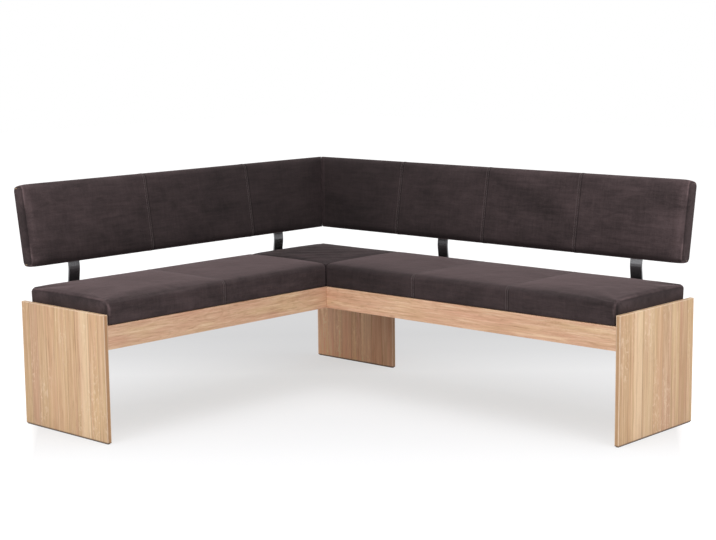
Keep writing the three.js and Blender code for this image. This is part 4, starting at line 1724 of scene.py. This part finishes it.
@dataclass
class Upholstery:
    """Makes and dresses the soft pieces of the bench."""

    palette: Palette
    rear_inset: float = 0.009
    rear_thickness: float = 0.003
    rear_gap: float = 0.0003
    rear_corner: float = 0.010
    rear_bevel: float = 0.0011
    # Painted light that lightens the rear panel all over, where the lamps leave it dark
    rear_nap: float = 1.3
    rear_pattern: Place = (23.0, 1.0, 4.0)

    def lay(self, cushion: Cushion, wing: Wing, material: bpy.types.Material, stand: Placer) -> None:
        """Args:
            cushion: The cushion.
            wing: Its wing.
            material: Its cloth.
            stand: Carries flat points to the wing's frame.
        """
        block, places = cushion.build()
        flat = coordinates(block)
        remember(block, "cloth_place", flat + cushion.pattern * PATTERN_SHIFT)
        self.settle(block, wing, material, stand)
        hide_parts(cushion.node("cover"), cushion.node("foam"))
        log.info("%s has %d faces", block.name, len(block.data.polygons))
        if places:
            stitches = join_copies(cushion.node("stitches"), bead(STITCH_SIZE), places)
            self.settle(stitches, wing, self.palette.thread, stand)
            log.info("%s has %d stitches", stitches.name, len(places))

    def settle(self, piece: Piece, wing: Wing, material: bpy.types.Material, stand: Placer,
               angle: float | None = None) -> None:
        """Stand a flat piece in its place, shade and dress it, and let it ride on the bench.

        Args:
            piece: The piece.
            wing: Its wing.
            material: Its material.
            stand: Carries flat points to the wing's frame.
            angle: The angle up to which it is shaded smooth.
        """
        move_points(piece, stand(coordinates(piece)))
        wing.settle(piece)
        smooth(piece, angle)
        dress(piece, material)
        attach(piece, ROOT)

    def seat(self, wing: Wing) -> None:
        """Make the seat cushion of a wing."""
        low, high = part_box(f"seat_cover_{wing.side.value}")
        start, length = wing.reach(low, high)
        size = (length, SEAT_DEPTH, SEAT_HEIGHT)
        self.lay(Cushion(
            f"seat_cushion_{wing.side.value}", size, wing.seat_pattern, lap=wing.lap, painted_shading=wing.seat_combed,
            seams=tuple(seam - start for seam in wing.seat_seams),
            creases=corner_folds(size, [(True, False), (True, True)], 0.030),
        ), wing, self.palette.cloth, lambda points: points + (start, 0.0, low.z))

    def corner_pad(self, wing: Wing) -> None:
        """Make the square pad of the corner."""
        low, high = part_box("seat_cover_corner")
        start, length = wing.reach(low, high)
        size = (length, high.y - low.y, PAD_HEIGHT)
        self.lay(Cushion(
            "seat_cushion_corner", size, PAD_PATTERN, held_ends=(False, True), crown=0.004, rise=0.003,
            radii=(0.012, 0.008, 0.009, 0.014, 0.004),
            creases=corner_folds(size, [(False, True)], 0.028) + pad_folds(length, PAD_HEIGHT),
        ), wing, self.palette.cloth_turned_and_shaded, lambda points: points + (start, low.y - INNER_CORNER[1], low.z))

    def backrest(self, wing: Wing) -> None:
        """Make the backrest of a wing."""
        size = (BACKREST_SETBACK + wing.backrest_end, BACKREST_HEIGHT, BLOCK_THICKNESS)
        self.lay(BackrestCushion(
            f"backrest_cushion_{wing.side.value}", size, wing.backrest_pattern, lap=wing.lap,
            seams=tuple(BACKREST_SETBACK + seam for seam in wing.backrest_seams),
            painted_shading=wing.backrest_combed, mitre_bulge=wing.mitre_bulge, mitre_highlight=wing.mitre_highlight,
            creases=corner_folds(size, [(True, False), (True, True)], 0.020),
        ), wing, self.palette.cloth, on_backrest)

    def rear_panel(self, wing: Wing) -> None:
        """Make the thin covered panel behind a backrest."""
        length = BACKREST_SETBACK + wing.backrest_end
        inset = self.rear_inset
        panel = grid_box(f"backrest_rear_{wing.side.value}", (
            np.linspace(inset, length - inset, 80),
            np.linspace(inset, BACKREST_HEIGHT - inset, 14), (0.0, self.rear_thickness)))
        points = coordinates(panel)
        points[:, :2] = round_corners(points[:, :2], np.array([length, BACKREST_HEIGHT]), inset, self.rear_corner)
        points[:, 2] -= self.rear_thickness + self.rear_gap
        move_points(panel, points)
        modifier = panel.modifiers.new("Soft edge", "BEVEL")
        modifier.width = self.rear_bevel
        modifier.segments = 3
        modifier.limit_method = "ANGLE"
        modifier.angle_limit = math.radians(40)
        apply_modifiers(panel)
        flat = coordinates(panel)
        remember(panel, "cloth_place", flat + self.rear_pattern)
        # The rear panel is lightened all over as painted light
        remember(panel, "nap_and_painted_light", np.full(len(flat), self.rear_nap))
        self.settle(panel, wing, self.palette.cloth, on_backrest, math.radians(35))
        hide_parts(f"backrest_rear_panel_{wing.side.value}")
        log.info("%s has %d faces", panel.name, len(panel.data.polygons))

    def build(self) -> None:
        """Make every soft piece."""
        for wing in (LONG_WING, SHORT_WING):
            self.seat(wing)
            self.backrest(wing)
            self.rear_panel(wing)
        self.corner_pad(LONG_WING)


# Hard pieces


@dataclass
class Fasteners:
    """Makes the screws, bolts and staples."""

    palette: Palette
    head_radius: float = 0.0065
    head_height: float = 0.0032
    head_bevel: float = 0.0019
    shank_radius: float = 0.003
    shank_length: float = 0.006
    socket_width: float = 0.0040
    socket_depth: float = 0.0019
    bracket_screw_seat: float = 0.0666
    bracket_screw_shares: tuple[tuple[str, float], ...] = (("a", 0.18), ("b", 0.44))
    rail_screw_seat: float = BENCH_DEPTH + 0.0066
    corner_bolts: int = 4
    staple_size: Place = (0.0052, 0.0006, 0.0004)
    staple_inset: float = 0.019
    staple_spacing: float = 0.042

    def screw(self) -> Piece:
        """Model one pan-head screw with a hexagon socket, its head towards +Z and its seat at the origin.

        Returns:
            The screw.
        """
        deselect_all()
        bpy.ops.mesh.primitive_cylinder_add(vertices=32, radius=self.head_radius, depth=self.head_height,
                                            location=(0, 0, self.head_height / 2))
        head = bpy.context.active_object
        bpy.ops.object.transform_apply(location=True, rotation=True, scale=True)
        select_in(head, "EDGE", edge_ends(head)[:, :, 2].min(axis=1) > self.head_height * 0.99)
        bpy.ops.mesh.bevel(offset=self.head_bevel, segments=5, profile=0.55)
        leave_edit()
        middles, normals = (rows(head.data.polygons, name, 3) for name in ("center", "normal"))
        select_in(head, "FACE", (normals[:, 2] < DOWNWARD) & (middles[:, 2] < 0.0001))
        bpy.ops.mesh.inset(thickness=self.head_radius - self.shank_radius)
        bpy.ops.mesh.extrude_region_move(TRANSFORM_OT_translate={"value": (0, 0, -self.shank_length)})
        leave_edit()
        deselect_all()
        tool_height = 0.006
        tool_middle = self.head_height - self.socket_depth + tool_height / 2
        bpy.ops.mesh.primitive_cylinder_add(vertices=6, radius=self.socket_width / math.sqrt(3),
                                            depth=tool_height, location=(0, 0, tool_middle))
        tool = bpy.context.active_object
        cutter = head.modifiers.new("Socket", "BOOLEAN")
        cutter.operation = "DIFFERENCE"
        cutter.object = tool
        cutter.solver = "EXACT"
        apply_modifiers(head)
        bpy.data.objects.remove(tool)
        smooth(head, math.radians(32))
        return head

    def set_screw(self, template: Piece, node: str, seat: Vector, outward: Vector) -> None:
        """Copy the screw to the place of a packed screw.

        Args:
            template: The modelled screw.
            node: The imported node.
            seat: Where the underside of its head sits.
            outward: The direction in which its head points.
        """
        piece = template.copy()
        piece.data = template.data.copy()
        piece.name = piece.data.name = f"{node}_hexagon"
        bpy.context.scene.collection.objects.link(piece)
        turn = outward.to_track_quat("Z", "Y").to_matrix()
        move_points(piece, coordinates(piece) @ np.array(turn).T + np.array(seat))
        dress(piece, self.palette.screw)
        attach(piece, ROOT)
        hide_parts(node)
        log.info("%s is set", piece.name)

    def bracket_screws(self, template: Piece, wing: Wing) -> None:
        """Set the rail and backrest screws of a wing's brackets."""
        sin, cos = math.sin(RECLINE), math.cos(RECLINE)
        axis = 0 if wing.side is Side.LONG else 1
        for number, along in enumerate(wing.brackets, start=1):
            for letter, share in self.bracket_screw_shares:
                place = f"{wing.side.value}_{number}{letter}"
                slope = share * BACKREST_HEIGHT
                seat = wing.spot(along, BACKREST_SETBACK + slope * sin + self.bracket_screw_seat * cos,
                                 BACKREST_BASE + slope * cos - self.bracket_screw_seat * sin)
                self.set_screw(template, f"back_screw_{place}", seat, wing.direction(0, cos, -sin))
                low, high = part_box(f"rail_screw_{place}")
                middle = (low + high) / 2
                seat = wing.spot(0, self.rail_screw_seat, middle.z)
                seat[axis] = middle[axis]
                self.set_screw(template, f"rail_screw_{place}", seat, wing.direction(0, 1, 0))

    def set_corner_bolts(self, template: Piece) -> None:
        """Set the bolts of the corner leg."""
        for number in range(1, self.corner_bolts + 1):
            low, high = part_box(f"corner_bolt_{number}")
            middle = (low + high) / 2
            seat = Vector((middle.x, high.y - self.head_height, middle.z))
            self.set_screw(template, f"corner_bolt_{number}", seat, Vector((0, 1, 0)))

    def staples(self, name: str) -> None:
        """Drive a row of staples through the flange under a seat.

        Args:
            name: Which seat: "long", "short" or "corner".
        """
        low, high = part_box(f"seat_cover_{name}")
        inset = self.staple_inset
        x1, x2, y1, y2 = low.x + inset, high.x - inset, low.y + inset, high.y - inset
        turns = [Vector((x, y, low.z - 0.0001)) for x, y in ((x1, y1), (x2, y1), (x2, y2), (x1, y2), (x1, y1))]
        places: list[Matrix] = []
        for start, end in zip(turns, turns[1:]):
            run = end - start
            count = round(run.length / self.staple_spacing)
            for step in range(count):
                angle = math.atan2(run.y, run.x) + 0.22 * math.sin(12.9898 * step + start.x * 31)
                spot = start.lerp(end, (step + 0.5) / count)
                places.append(Matrix.Translation(spot) @ Matrix.Rotation(angle, 4, "Z"))
        piece = join_copies(f"seat_staples_{name}", bead(self.staple_size), places)
        smooth(piece)
        dress(piece, self.palette.wire)
        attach(piece, ROOT)
        log.info("%s has %d staples", piece.name, len(places))

    def build(self) -> None:
        """Make every fastener."""
        template = self.screw()
        for wing in (LONG_WING, SHORT_WING):
            self.bracket_screws(template, wing)
        self.set_corner_bolts(template)
        bpy.data.objects.remove(template)
        for name in ("long", "short", "corner"):
            self.staples(name)
        log.info("fasteners are in place")


@dataclass
class Frame:
    """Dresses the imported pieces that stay: oak, plywood, steel and felt."""

    palette: Palette
    nodes: dict[str, Piece]

    def finish_of(self, name: str) -> bpy.types.Material:
        """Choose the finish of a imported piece.

        Args:
            name: Name of the node.

        Returns:
            Its material.
        """
        palette = self.palette
        starts = {
            ("leg_panel_long_end",): palette.leg_long,
            ("leg_panel_short_end",): palette.leg_short,
            ("leg_panel_corner",): palette.leg_corner,
            ("apron_long", "rear_rail_long", "cross_rail_short", "end_cleat_short"): palette.rail_x,
            ("apron_short", "rear_rail_short", "cross_rail_long", "end_cleat_long"): palette.rail_y,
            ("felt",): palette.felt,
            ("seat_board", "backrest_board"): palette.plywood,
            ("bracket",): palette.steel,
        }
        return next((material for start, material in starts.items() if name.startswith(start)), palette.steel)

    def build(self) -> None:
        """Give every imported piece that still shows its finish."""
        for name, node in self.nodes.items():
            if not node.hide_render:
                finish = self.finish_of(name)
                dress(node, finish)
                log.info("%s is dressed in %s", name, finish.name)


# Studio: how strongly the floor glows for the camera, from in front of the bench to behind it; the lower levels
# under and behind the bench are a painted shadow
FLOOR_SPAN = (-1.2, 3.2)
FLOOR_GLOW_WITH_PAINTED_SHADOW = {0.0: 0.775, 0.10: 0.73, 0.16: 0.70, 0.21: 0.665, 0.27: 0.635, 0.34: 0.62, 0.455: 0.635,
                0.545: 0.535, 0.636: 0.48, 0.83: 0.50, 1.0: 1.0}
WHITE = (1, 1, 1, 1)
WORLD_LIGHT = 0.36


def seen_by_camera(graph: Graph) -> Output:
    """Say whether a ray comes from the camera, on its own, by a mirror or through glass."""
    path = graph.add("LightPath")
    return graph.highest(*(path.outputs[f"Is {kind} Ray"] for kind in ("Camera", "Glossy", "Transmission")))


@dataclass(frozen=True)
class Studio:
    """The camera, the pale floor and the soft light."""

    position: Place = (3.6787, -3.9780, 1.3602)
    yaw: float = -42.632
    pitch: float = 8.614
    roll: float = -0.615
    lens: float = 79.084
    floor_turn: float = -42.6

    def camera(self) -> None:
        """Stand the camera where the bench was seen from."""
        data = bpy.data.cameras.new("Camera")
        data.lens = self.lens
        data.sensor_width = 36.0
        data.sensor_fit = "HORIZONTAL"
        data.clip_end = 60.0
        camera = bpy.data.objects.new("Camera", data)
        bpy.context.scene.collection.objects.link(camera)
        yaw, pitch, roll = (math.radians(angle) for angle in (self.yaw, self.pitch, self.roll))
        forward = Vector((math.sin(yaw) * math.cos(pitch), math.cos(yaw) * math.cos(pitch), -math.sin(pitch)))
        right = forward.cross(Vector((0, 0, 1))).normalized()
        up = right.cross(forward)
        level_right = math.cos(roll) * right + math.sin(roll) * up
        level_up = -math.sin(roll) * right + math.cos(roll) * up
        camera.matrix_world = Matrix.Translation(self.position) @ Matrix(
            (level_right, level_up, -forward)).transposed().to_4x4()
        bpy.context.scene.camera = camera

    def floor(self) -> None:
        """Lay a pale floor that the camera sees as white, with the real shadow of the bench and a painted shadow
        in its glow under and behind it.
        """
        deselect_all()
        bpy.ops.mesh.primitive_plane_add(size=30, location=(0, 0, 0))
        plane = bpy.context.active_object
        plane.name = "studio_floor"
        material, graph = new_material("white_floor")
        seen = seen_by_camera(graph)
        matt = graph.add("BsdfDiffuse", {"Color": graph.mix(seen, grey(0.80), (0.25, 0.25, 0.258, 1))})

        # X across the view and Y away from the camera
        turned = graph.stretch(graph.add("TexCoord").outputs["Object"],
                               turn=(0.0, 0.0, math.radians(self.floor_turn)))
        across, behind, _ = graph.parts(turned)
        aside = graph.calc("SUBTRACT", graph.calc("ABSOLUTE", across), graph.times(behind, 0.17))
        away = graph.vector("DISTANCE", turned, (0.0, 0.6, 0.0)).outputs["Value"]
        # Painted shadow: the glow is weaker under and behind the bench, and full white beside it and far behind it
        stops = {place: grey(level) for place, level in FLOOR_GLOW_WITH_PAINTED_SHADOW.items()}
        level = graph.ramp(graph.span(behind, *FLOOR_SPAN), stops)
        white = graph.highest(level, graph.span(aside, 1.01, 1.18), graph.span(away, 1.90, 2.80))
        glow = graph.add("Emission", {"Color": WHITE, "Strength": graph.times(seen, white)})
        total = graph.add("AddShader", {0: matt.outputs[0], 1: glow.outputs[0]})

        # From below the floor is clear, so that the underside of the bench is seen
        shown = graph.add("MixShader", {0: graph.add("NewGeometry").outputs["Backfacing"], 1: total.outputs[0],
                                        2: graph.add("BsdfTransparent").outputs[0]})
        graph.add("OutputMaterial", {"Surface": shown.outputs[0]})
        plane.data.materials.append(material)

    def world(self) -> None:
        """Surround the bench with soft white light, seen as plain white."""
        world = bpy.data.worlds.new("Studio")
        bpy.context.scene.world = world
        world.use_nodes = True
        graph = Graph(world.node_tree)
        soft, white = (graph.add("Background", {"Color": WHITE, "Strength": level})
                       for level in (WORLD_LIGHT, 1.0))
        both = graph.add("MixShader", {0: seen_by_camera(graph), 1: soft.outputs[0], 2: white.outputs[0]})
        graph.add("OutputWorld", {"Surface": both.outputs[0]})

    def lamp(self, name: str, place: Place, target: Place, size: float, power: float) -> None:
        """Hang a square softbox.

        Args:
            name: Name of the lamp.
            place: Where it hangs.
            target: What it points at.
            size: Length of its side.
            power: Its power in watts.
        """
        data = bpy.data.lights.new(name, "AREA")
        data.shape = "SQUARE"
        data.size = size
        data.energy = power
        lamp = bpy.data.objects.new(name, data)
        bpy.context.scene.collection.objects.link(lamp)
        lamp.location = place
        lamp.rotation_mode = "QUATERNION"
        lamp.rotation_quaternion = (Vector(target) - Vector(place)).to_track_quat("-Z", "Y")
        lamp.visible_camera = False

    def build(self) -> None:
        """Set up the whole studio."""
        self.camera()
        self.floor()
        self.world()
        self.lamp("Overhead", (0.2, -0.3, 3.8), (0.0, 0.0, 0.3), size=3.6, power=112)
        self.lamp("Right softbox", (2.45, 0.1, 1.1), (0.5, 0.3, 0.3), size=1.2, power=15.5)
        self.lamp("Left softbox", (-0.3, -2.4, 1.1), (-0.4, -0.4, 0.3), size=1.2, power=15)
        bpy.context.scene.view_settings.view_transform = "Standard"
        log.info("the studio is set up")


def main() -> None:
    """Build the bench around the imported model."""
    logging.basicConfig(level=logging.INFO, format="%(name)s: %(message)s")
    for item in list(bpy.data.objects):
        bpy.data.objects.remove(item)
    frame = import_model()
    palette = Palette()
    Studio().build()
    Upholstery(palette).build()
    Fasteners(palette).build()
    Frame(palette, frame["nodes"]).build()
    deselect_all()


if __name__ == "__main__":
    main()
